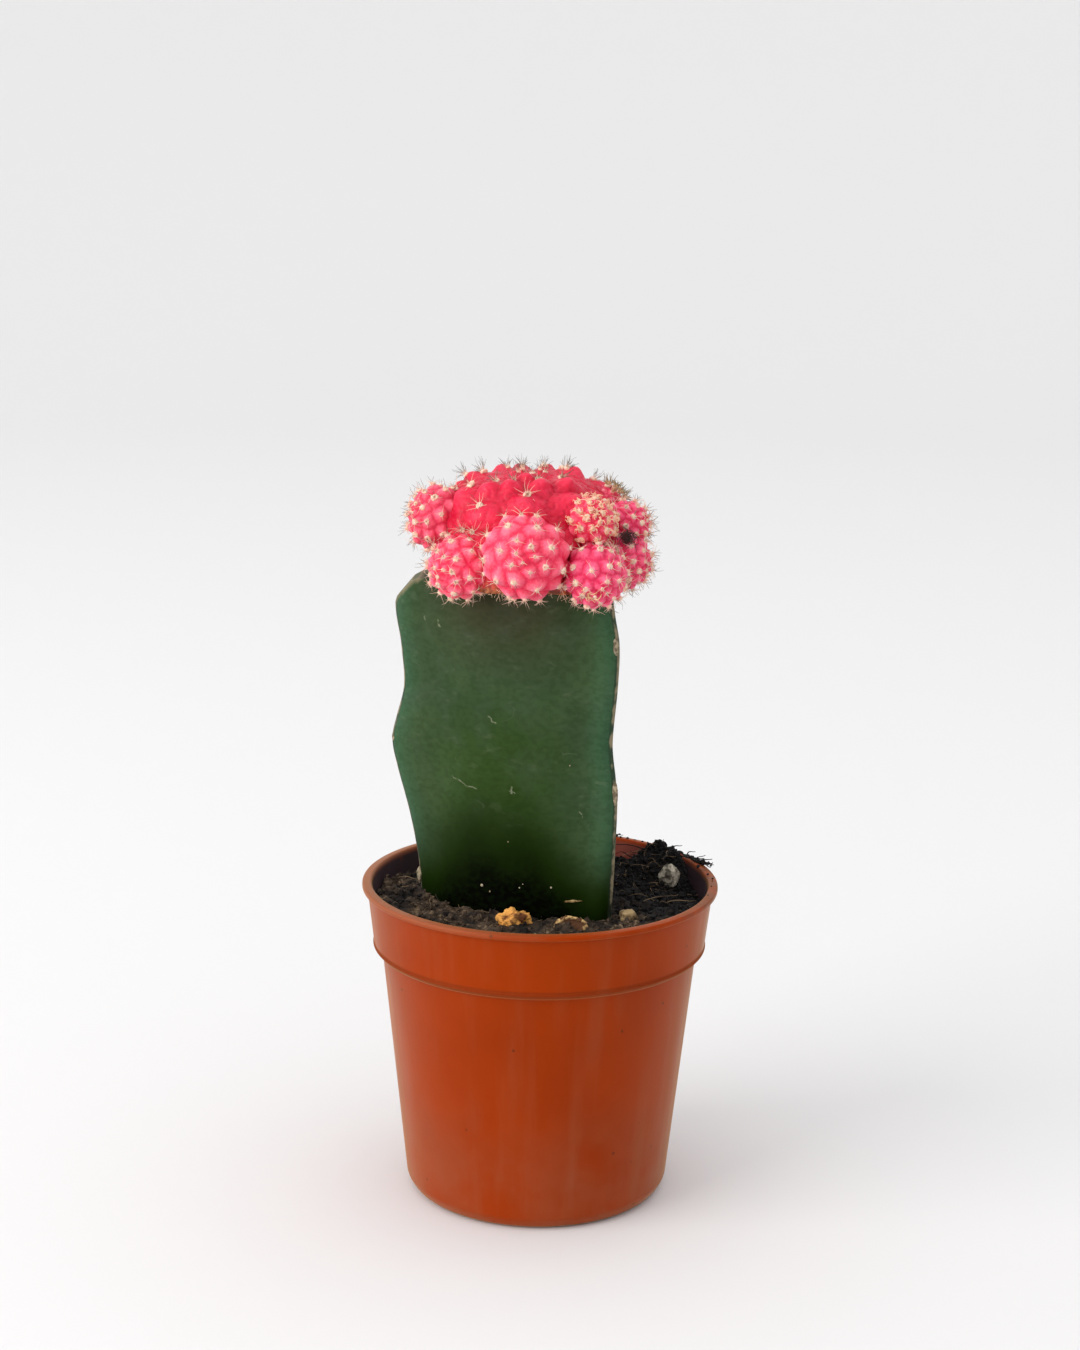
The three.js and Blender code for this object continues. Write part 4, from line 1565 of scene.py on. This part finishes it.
@dataclass(frozen=True)
class Scion:
    """All the heads, with the flesh, pads and spines of each, and the tufts between them."""

    heads: tuple[Head, ...] = (MOTHER, *OFFSETS)
    clumps: tuple[Clump, ...] = (
        Clump("dried_tuft", (12.3, -8.5, 104.7), (0.55, 0.3, 0.5), 100, 0.75, 0.09, Spines.DRIED),
        Clump("graft_shreds", (-6.8, -11.6, 97.3), (1.5, 0.4, 0.2), 46, 1.0, 0.07, Spines.RUST),
        Clump("graft_shreds_right", (3.6, -12, 97.4), (1.0, 0.4, 0.25), 30, 1.0, 0.07, Spines.RUST),
        Clump("straw_tuft", (6.4, -16.6, 97.6), (0.35, 0.25, 0.3), 22, 0.75, 0.11, Spines.STRAW),
    )
    graft: float = 97.0
    graft_middle: Pair = (-2.5, 1)
    graft_radius: float = 10.5
    pad_radius: float = 0.45
    spine_radius: float = 0.055
    bristle_radius: float = 0.085
    curly_radius: float = 0.15
    upright_above: float = 52
    pad_sizes: Pair = (0.65, 1.15)
    pad_lengths: Pair = (1.0, 1.35)
    dimples: Pair = (0.1, 0.6)
    counts: Pair = (0.75, 1.2)
    standing: Pair = (38, 80)
    lying: Pair = (6, 34)
    lengths: Pair = (0.6, 1.3)
    loose_curls: Pair = (-0.08, 0.08)
    tight_curls: Pair = (0.12, 0.28)
    seed: int = 5

    def build(self) -> None:
        """Builds the heads one by one, and the tufts."""
        draw = random.Random(self.seed)
        wool = WoolFinish().material()
        spines = {kind: kind.value.material() for kind in Spines}
        fleshes = {tint: tint.value.material() for tint in Flesh}
        for head in self.heads:
            skin = Skin(head)
            slot = Slot.MOTHER if head is MOTHER else Slot.OFFSET
            flesh = self.flesh(skin)
            finished(f"{head.node}_flesh", flesh, fleshes[head.flesh], slot, head.node)
            kept = [areole for areole in skin.areoles if self.stands_free(skin, areole)]
            finished(f"{head.node}_wool", self.pads(skin, kept, draw), wool, slot)
            kind = Spines.STRAW if head.curly else Spines.OLIVE if head.bristles else Spines.PALE
            finished(f"{head.node}_spines", self.spines(skin, kept, draw), spines[kind], slot)
        for clump in self.clumps:
            finished(clump.name, clump.mesh(draw), spines[clump.kind], Slot.OFFSET)

    def flesh(self, skin: Skin) -> Mesh:
        """Makes the fleshy body of a head.

        Args:
            skin: Its skin.

        Returns:
            Its mesh.
        """
        head = skin.head
        bm = marked("tubercle", "crown")
        tubercle, top = (bm.verts.layers.float[name] for name in ("tubercle", "crown"))
        bmesh.ops.create_icosphere(bm, subdivisions=head.fineness, radius=1)
        turn, centre = head.frame(), Vector(head.centre)
        for vert in bm.verts:
            towards = vert.co.normalized()
            distance, vert[tubercle], vert[top] = skin.read(towards)
            vert.co = centre + turn @ (towards * distance)
            if head is MOTHER:
                vert.co.z = max(vert.co.z, self.graft - 0.02)
        return bm

    def stands_free(self, skin: Skin, areole: Areole) -> bool:
        """Whether an areole shows, clear of the other heads and of the graft.

        Args:
            skin: Skin that it stands on.
            areole: The areole.

        Returns:
            True if it shows.
        """
        if not areole.size:
            return False
        place = skin.root(areole)
        east, north = self.graft_middle
        out = math.hypot(place.x - east, place.y - north)
        if place.z < self.graft + 0.4 and out < self.graft_radius:
            return False
        return not any(other.holds(place, 1.02) for other in self.heads if other is not skin.head)

    def pads(self, skin: Skin, areoles: Sequence[Areole], draw: random.Random) -> Mesh:
        """Makes the woolly pads of a head, each a low cushion with a dimple.

        Args:
            skin: Skin that they stand on.
            areoles: Where they stand.
            draw: Source of the small differences.

        Returns:
            Their mesh.
        """
        ball = bmesh.new()
        bmesh.ops.create_uvsphere(ball, u_segments=10, v_segments=7, radius=1)
        stamp = Stamp(ball)
        bm = marked("dimple")
        for areole in areoles:
            root, up = skin.root(areole), skin.outwards(areole)
            side, across = stand(up)
            size = self.pad_radius * areole.size * draw.uniform(*self.pad_sizes)
            spun = draw.uniform(0, TURN)
            longer = draw.uniform(*self.pad_lengths)
            deep = draw.uniform(*self.dimples)
            first = len(bm.verts)

            def place(point: Vector) -> Vector:
                """Presses a ball into a pad.

                Args:
                    point: Point of the ball.

                Returns:
                    Its place on the pad.
                """
                out = math.hypot(point.x, point.y)
                lump = 1 + 0.32 * noise.noise(point * 1.8 + root)
                rise = 0.7 * point.z - (deep if point.z > 0 else 0) * (1 - smooth(0.1, 0.75, out))
                a = point.x * math.cos(spun) - point.y * math.sin(spun) * longer
                b = point.x * math.sin(spun) + point.y * math.cos(spun) * longer
                return root + (side * a + across * b) * (size * lump) + up * (size * rise * lump)

            stamp.press(bm, place)
            mark = bm.verts.layers.float["dimple"]
            for vert in bm.verts[first:]:
                offset = vert.co - root
                level = offset.dot(up)
                out = (offset - up * level).length / size
                brown = (1 - smooth(0.1, 0.5, out)) * deep * 1.6
                vert[mark] = brown if level > -0.1 * size else 0.0
        stamp.discard()
        return bm

    def spines(self, skin: Skin, areoles: Sequence[Areole], draw: random.Random) -> Mesh:
        """Makes the spines of a head, spread from each pad and clear of the other heads.

        Args:
            skin: Skin that they stand on.
            areoles: Where they stand.
            draw: Source of the small differences.

        Returns:
            Their mesh.
        """
        stamp = hair_stamp(4, 0.3)
        bm = marked("along")
        for areole in areoles:
            for hair in self.tuft(skin, areole, draw):
                tip = hair.tip()
                if not any(o.holds(tip, 0.94 if o is skin.head else 1.0) for o in self.heads):
                    stamp.press(bm, hair.rule(), "along", hair.painted_silhouette_shade)
        stamp.discard()
        return bm

    def tuft(self, skin: Skin, areole: Areole, draw: random.Random) -> Iterator[Hair]:
        """Spines of one areole.

        Args:
            skin: Skin that it stands on.
            areole: The areole.
            draw: Source of the small differences.

        Yields:
            The course of each spine.
        """
        head, up = skin.head, skin.outwards(areole)
        side, across = stand(up)
        root = skin.root(areole) + up * 0.12
        count = max(3, round(head.spines * areole.size * draw.uniform(*self.counts)))
        start = draw.uniform(0, TURN)
        high = head.horn and angle_down(areole.towards) < self.upright_above
        for k in range(count):
            angle = start + TURN * (k + draw.uniform(-0.3, 0.3)) / count
            stands = head.bristles or high or (k % 5 in (1, 3) and not head.curly)
            lift = math.radians(draw.uniform(*(self.standing if stands else self.lying)))
            out = side * math.cos(angle) + across * math.sin(angle)
            direction = out * math.cos(lift) + up * math.sin(lift)
            length = head.spine_length * areole.size * draw.uniform(*self.lengths)
            sideways = out.cross(up) * draw.uniform(-0.5, 0.5)
            bend = (up * draw.uniform(-0.3, 0.25) + sideways) * length
            radius = self.bristle_radius if head.bristles else self.spine_radius
            radius = self.curly_radius if head.curly else radius
            curl = draw.uniform(*(self.tight_curls if head.curly else self.loose_curls))
            # Standing spines darken towards the point, painted shade for spines seen against the
            # light; lying ones stay pale, painted highlight on the flesh.
            painted_silhouette_shade = 1.0 if stands else 0.25
            yield Hair(root + out * 0.1, direction, bend, length, radius, curl, painted_silhouette_shade)


# Peat and what lies on it


@dataclass(frozen=True)
class Peat:
    """The peat: its crumbly top, loose crumbs, clods and fibres."""

    level: float = 46.3
    swells: tuple[tuple[float, float, float, float], ...] = (
        (18.9, 16.9, 3.4, 3.4), (22.4, 12.6, 3.4, 3.6), (25, 6, -1.8, 5), (-18, 20, -2.6, 8),
    )
    left_rise: float = 0.4
    radius: float = 25.35
    floor: float = 1.7
    turns: int = 230
    rings: int = 74
    crumbs: int = 2400
    clods: int = 420
    fibres: int = 330
    roots: int = 260
    crisp: float = 40
    crumb_sizes: Pair = (0.15, 0.4)
    clod_sizes: Pair = (0.35, 0.62)
    fibre_radii: Pair = (0.05, 0.14)
    root_radii: Pair = (0.03, 0.075)
    lengths: Pair = (1.2, 4.5)
    mound_spread: Pair = (3.6, 4.6)
    wall_gap: float = 0.3
    rim_bits: tuple[tuple[float, float, float, float], ...] = (
        (25.3, 9.8, 49.5, 0.5), (25.9, 8.9, 49.7, 0.5), (26.5, 8.1, 49.9, 0.32),
        (25.1, 8.2, 49.3, 0.5), (26.1, 9.6, 49.5, 0.35), (24.6, 11.2, 49.5, 0.6),
        (23.9, 12.6, 49.3, 0.7), (25.6, 9.3, 49.9, 0.4), (24.9, 10.4, 49.6, 0.5),
        (26.9, 7.3, 49.8, 0.22), (23.2, 13.8, 49.2, 0.7), (22.3, 15.2, 49.3, 0.7),
        (16.6, 21, 49.5, 0.18), (15.4, 21.9, 49.5, 0.15), (14.2, 22.6, 49.6, 0.2),
        (12.4, 23.8, 49.6, 0.3), (13.1, 23.1, 49.6, 0.2), (12.9, 23.6, 49.9, 0.22),
        (25.6, -6.9, 49.5, 0.1), (26.4, -2.5, 49.5, 0.12), (26.8, 1.4, 49.55, 0.16),
        (26.2, 3.4, 49.6, 0.2), (26.7, 0.2, 49.5, 0.1),
    )
    over_rim: tuple[tuple[float, ...], ...] = (
        (25, 9.6, 49.6, 27.2, 8, 50, 0.14), (25.4, 8.6, 49.8, 27, 9, 50.6, 0.13),
        (24.6, 10.4, 49.6, 26, 10.4, 50.8, 0.11), (25.6, 8, 49.6, 26.8, 6.9, 49.8, 0.12),
        (21.2, 15.6, 50, 22.6, 15.5, 50.8, 0.12), (19, 17.6, 50, 19.8, 18.6, 50.8, 0.1),
        (23.4, 12.6, 50, 24.6, 12.8, 50.6, 0.11), (12, 23.6, 49.5, 13.4, 23.5, 50, 0.1),
        (26, 9.6, 50, 24.8, 11, 50.3, 0.15), (26.6, 8.4, 50.1, 27, 7.4, 50.3, 0.12),
    )
    laid: tuple[tuple[float, ...], ...] = (
        (19.4, -1.5, 23.6, -1.8, 0.1), (22.2, 1.2, 24.8, 6.6, 0.09), (11.9, 6.4, 13.2, 8.6, 0.12),
        (16, -2.4, 21, 1.4, 0.07), (-24, 5, -20.4, 1.2, 0.1), (-22.4, 8, -19.4, 5.4, 0.08),
    )
    seed: int = 21

    def surface(self, x: float, y: float) -> float:
        """Measures the smooth top.

        Args:
            x: Place across.
            y: Place in depth.

        Returns:
            Height there.
        """
        heap = 0.0
        for east, north, rise, spread in self.swells:
            heap += rise * math.exp(-((x - east) ** 2 + (y - north) ** 2) / spread**2)
        wave = 0.2 * (math.sin(1.7 * x + 0.8 * y) + math.sin(1.5 * y - 0.9 * x + 1))
        return self.level + heap + self.left_rise * smooth(6, 24, -x) + wave

    def top(self, x: float, y: float, lift: float = 0.0) -> Vector:
        """Finds a place on the crumbly top.

        Args:
            x: Place across.
            y: Place in depth.
            lift: How far above the top.

        Returns:
            The place.
        """
        place = Vector((x, y, 0))
        lumps = 0.55 * rough(place, 3.2, 3) + 0.3 * abs(rough(place + Vector((9, 9, 0)), 1.2, 2))
        return Vector((x, y, self.surface(x, y) + lumps + lift))

    def build(self) -> None:
        """Makes the peat and scatters what lies loose on it."""
        finish = PeatFinish().material()
        finished("peat_body", self.body(), finish, Slot.PEAT, "soil")
        draw = random.Random(self.seed)
        crumbs = self.crumbled(draw, self.crumbs, self.crumb_sizes, 1)
        finished("peat_crumbs", crumbs, finish, Slot.PEAT, sharp=self.crisp)
        clods = self.crumbled(draw, self.clods, self.clod_sizes, 2)
        for *place, size in self.rim_bits:
            add_crumb(clods, 2, size, Vector(place), Vector(place), (1, 1.3, 0.6))
        finished("peat_clods", clods, finish, Slot.PEAT, sharp=self.crisp)
        over = [
            self.strand(Vector(ends[:3]), Vector(ends[3:6]), (0.1, 0.2, -0.15), ends[6], 0.15)
            for ends in self.over_rim
        ]
        fibres = self.fibrous(draw, self.fibres, self.fibre_radii, over)
        finished("peat_fibres", fibres, finish, Slot.PEAT)
        laid = []
        for x0, y0, x1, y1, radius in self.laid:
            start, end = self.top(x0, y0, 0.3), self.top(x1, y1, 0.4)
            laid.append(self.strand(start, end, (0.15, 0.1, 0.05), radius, 0.2))
        roots = self.fibrous(draw, self.roots, self.root_radii, laid)
        tan = ChipFinish("root_tan", (0.27, 0.18, 0.1), (0.05, 0.035, 0.025), 1.6).material()
        finished("peat_roots", roots, tan, Slot.PEAT)

    def body(self) -> Mesh:
        """Makes the peat in one piece.

        Returns:
            Its mesh.
        """
        profile = [(0.0, self.floor), (18.2, self.floor), (19.3, 3.4), (23.3, 38.4), (24.5, 40.2)]
        profile += [(self.radius * (1 - k / self.rings), self.level) for k in range(self.rings + 1)]
        bm = section(profile)
        spin(bm, self.turns)
        for vert in bm.verts:
            if vert.co.z >= self.level - 0.5:
                vert.co = self.top(vert.co.x, vert.co.y)
        return bm

    def spot(self, draw: random.Random, to_mound: float) -> Vector:
        """Draws a place on the peat.

        Args:
            draw: Source of the draw.
            to_mound: Share of the places that lie round the heap.

        Returns:
            The place on the top.
        """
        if draw.random() < to_mound:
            x = draw.gauss(self.swells[0][0], self.mound_spread[0])
            y = draw.gauss(self.swells[1][1], self.mound_spread[1])
        else:
            angle = draw.uniform(0, TURN)
            out = self.radius * math.sqrt(draw.random())
            x, y = out * math.cos(angle), out * math.sin(angle)
        away, limit = math.hypot(x, y), self.radius - self.wall_gap
        if away > limit:
            x, y = (value * limit / away for value in (x, y))
        return self.top(x, y)

    def crumbled(self, draw: random.Random, count: int, sizes: Pair, fineness: int) -> Mesh:
        """Scatters crumbs or clods.

        Args:
            draw: Source of the draws.
            count: Number of them.
            sizes: Smallest and largest radius.
            fineness: How often the faces of each are split.

        Returns:
            Their mesh.
        """
        bm = bmesh.new()
        for _ in range(count):
            size = draw.uniform(*sizes)
            place = self.spot(draw, 0.2) + Vector((0, 0, 0.35 * size))
            stretch = Vector([draw.uniform(0.6, 1.3) for _ in range(3)])
            seed = Vector([draw.uniform(-50, 50) for _ in range(3)])
            add_crumb(bm, fineness, size, place, seed, stretch)
        return bm

    def strand(self, root: Vector, tip: Vector, bow: Triple, radius: float, curl: float) -> Hair:
        """Lays one fibre.

        Args:
            root: Where it starts.
            tip: Where it would end if it were straight.
            bow: How far it bends, as shares of its length.
            radius: Its radius.
            curl: Its curl.

        Returns:
            Its course.
        """
        course = tip - root
        bend = Vector(bow) * course.length
        return Hair(root, course.normalized(), bend, course.length, radius, curl)

    def fibrous(
        self, draw: random.Random, count: int, radii: Pair, strands: Sequence[Hair]
    ) -> Mesh:
        """Scatters root fibres and bits of stick.

        Args:
            draw: Source of the draws.
            count: Number of them.
            radii: Smallest and largest radius.
            strands: Fibres that lie in a place of their own.

        Returns:
            Their mesh.
        """
        stamp = hair_stamp(5, 0.45)
        bm = marked("hollow_brown_and_shade")
        for _ in range(count):
            root = self.spot(draw, 0.3)
            angle = draw.uniform(0, TURN)
            direction = Vector((math.cos(angle), math.sin(angle), draw.uniform(-0.15, 0.5)))
            direction.normalize()
            length = draw.uniform(*self.lengths)
            bend = Vector([draw.gauss(0, 0.3) for _ in range(3)]) * length
            bend.z = -direction.z * length * draw.uniform(0.4, 1.1)
            hair = Hair(root, direction, bend, length, draw.uniform(*radii), draw.gauss(0, 0.25))
            if math.hypot(*hair.tip().xy) < self.radius:
                stamp.press(bm, hair.rule())
        for hair in strands:
            stamp.press(bm, hair.rule())
        stamp.discard()
        return bm


@dataclass(frozen=True)
class Chip:
    """A piece of bark or stone pressed into the peat."""

    node: str
    place: Triple
    size: Triple
    turn: float
    finish: ChipFinish
    slot: Slot
    craggy: float
    dish: float = 0.0
    tilt: float = 0.0
    facets: int = 0

    def build(self) -> None:
        """Makes the chip."""
        bm = marked("hollow_brown_and_shade")
        hollow_brown_and_shade = bm.verts.layers.float["hollow_brown_and_shade"]
        bmesh.ops.create_icosphere(bm, subdivisions=5, radius=1)
        turn = Euler((self.tilt, 0.4 * self.turn, self.turn)).to_matrix()
        draw = random.Random(self.node)
        planes = []
        for _ in range(self.facets):
            normal = Vector([draw.gauss(0, 1) for _ in range(3)]).normalized()
            planes.append((normal, draw.uniform(0.62, 0.86)))
        for vert in bm.verts:
            point = vert.co.copy()
            flat = [gap / point.dot(normal) for normal, gap in planes if point.dot(normal) > gap]
            lump = min([1.0, *flat]) + self.craggy * rough(point + Vector(self.place), 0.75, 4)
            out = math.hypot(point.x, point.y)
            sunk = self.dish * (1 - smooth(0.5, 0.92, out)) if point.z > 0 else 0.0
            # The dished middle takes the pit colour: partly brown and partly painted shade in the
            # hollow.
            vert[hollow_brown_and_shade] = min(1.0, sunk * 1.4)
            point.z *= 1 - 0.75 * sunk
            vert.co = Vector(self.place) + turn @ scaled(point * lump, self.size)
        finished(f"{self.node}_piece", bm, self.finish.material(), self.slot, self.node)


CHIPS = (
    Chip(
        "bark_chip_front", (-3.8, -12.9, 47.1), (2.1, 1.5, 1.6), 0.2,
        ChipFinish("bark_orange", (0.8, 0.38, 0.085), (0.14, 0.045, 0.014), 0.8),
        Slot.BARK, craggy=0.55,
    ),
    Chip(
        "bark_chip_pale", (4.7, -14.1, 46.6), (2.6, 1.5, 0.9), -0.1,
        ChipFinish("bark_cream", (0.72, 0.47, 0.19), (0.1, 0.04, 0.016), 0.3),
        Slot.BARK, craggy=0.1, dish=0.95, tilt=1.2,
    ),
    Chip(
        "bark_chip_right", (13.5, -9.8, 47.0), (1.5, 1.3, 1.25), 0.5,
        ChipFinish("bark_tan", (0.36, 0.25, 0.12), (0.12, 0.075, 0.035), 0.5),
        Slot.BARK, craggy=0.12, facets=7,
    ),
    Chip(
        "grit_stone", (20.4, 8.2, 47.8), (1.7, 1.5, 2.1), 0.3,
        ChipFinish("grit_grey", (0.6, 0.53, 0.42), (0.15, 0.13, 0.1), 0.45),
        Slot.GRIT, craggy=0.1, facets=9,
    ),
)


# Studio


@dataclass(frozen=True)
class Softbox:
    """A soft square lamp that looks at the plant."""

    name: str
    azimuth: float
    elevation: float
    size: float
    power: float
    colour: Colour
    distance: float = 1.1

    def place(self, target: Vector) -> None:
        """Hangs the lamp.

        Args:
            target: Point that it looks at, in metres.
        """
        lamp = bpy.data.lights.new(self.name, "AREA")
        lamp.shape, lamp.size = "SQUARE", self.size
        lamp.energy, lamp.color = self.power, self.colour
        turn, rise = math.radians(self.azimuth), math.radians(self.elevation)
        away = Vector(
            (math.sin(turn) * math.cos(rise), -math.cos(turn) * math.cos(rise), math.sin(rise))
        )
        holder = placed(self.name, lamp)
        holder.location = target + away * self.distance
        holder.rotation_euler = (-away).to_track_quat("-Z", "Y").to_euler()
        holder.visible_camera = False


@dataclass(frozen=True)
class Studio:
    """Pale floor that curves up to a wall all round, a pale sky, soft lamps and the camera."""

    floor_radius: float = 900
    curve: float = 900
    curve_steps: int = 12
    wall_top: float = 1000
    floor_turns: int = 64
    floor_colour: Colour = (0.77, 0.763, 0.757)
    sky: Colour = (0.97, 0.98, 1.0)
    sky_strength: float = 1.08
    lit: Triple = (0, 0, 0.06)
    camera_place: Triple = (0, -0.38152, 0.17018)
    pitch: float = 13.022
    yaw: float = -0.067
    roll: float = 0.788
    lens: float = 68.65
    film: float = 36.0
    nearest: float = 0.01
    lamps: tuple[Softbox, ...] = (
        Softbox("window_left", -60, 22, 0.8, 8.2, (1.0, 0.98, 0.96)),
        Softbox("window_top", 10, 82, 1.2, 1.0, (1.0, 1.0, 1.0)),
    )

    def build(self) -> None:
        """Sets up the floor, the sky, the lamps and the camera."""
        self.floor()
        self.light()
        self.camera()

    def floor(self) -> None:
        """Makes the floor and its wall."""
        outline = [(0.0, 0.0), (self.floor_radius, 0.0)]
        for k in range(1, self.curve_steps + 1):
            angle = math.pi / 2 * k / self.curve_steps
            out = self.floor_radius + self.curve * math.sin(angle)
            outline.append((out, self.curve * (1 - math.cos(angle))))
        bm = section([*outline, (self.floor_radius + self.curve, self.wall_top)])
        spin(bm, self.floor_turns)
        paper = Graph("studio_floor").dress(self.floor_colour, 0.95, 0.1)
        skinned("studio_floor", bm, paper)

    def light(self) -> None:
        """Lights the studio."""
        world = bpy.data.worlds.new("studio_sky")
        world.use_nodes = True
        sky = world.node_tree.nodes["Background"]
        sky.inputs["Color"].default_value = (*self.sky, 1.0)
        sky.inputs["Strength"].default_value = self.sky_strength
        bpy.context.scene.world = world
        for lamp in self.lamps:
            lamp.place(Vector(self.lit))
        bpy.context.scene.view_settings.view_transform = "Standard"

    def camera(self) -> None:
        """Sets the camera where the photograph was taken from."""
        pitch, yaw, roll = (math.radians(a) for a in (self.pitch, self.yaw, self.roll))
        ahead = Vector(
            (math.sin(yaw) * math.cos(pitch), math.cos(yaw) * math.cos(pitch), -math.sin(pitch))
        )
        right = ahead.cross(Vector((0, 0, 1))).normalized()
        up = right.cross(ahead)
        side = right * math.cos(roll) + up * math.sin(roll)
        head = up * math.cos(roll) - right * math.sin(roll)
        lens = bpy.data.cameras.new("photo_camera")
        lens.sensor_fit, lens.sensor_height = "VERTICAL", self.film
        lens.lens, lens.clip_start = self.lens, self.nearest
        camera = placed("photo_camera", lens)
        turn = Matrix((side, head, -ahead)).transposed()
        camera.matrix_world = Matrix.LocRotScale(Vector(self.camera_place), turn, None)
        bpy.context.scene.camera = camera


def main() -> None:
    """Builds the plant and the studio."""
    logging.basicConfig(level=logging.INFO, format="%(name)s: %(message)s")
    for part in (Pot(), Peat(), Stock(), Scion(), *CHIPS, Studio()):
        part.build()


if __name__ == "__main__":
    main()
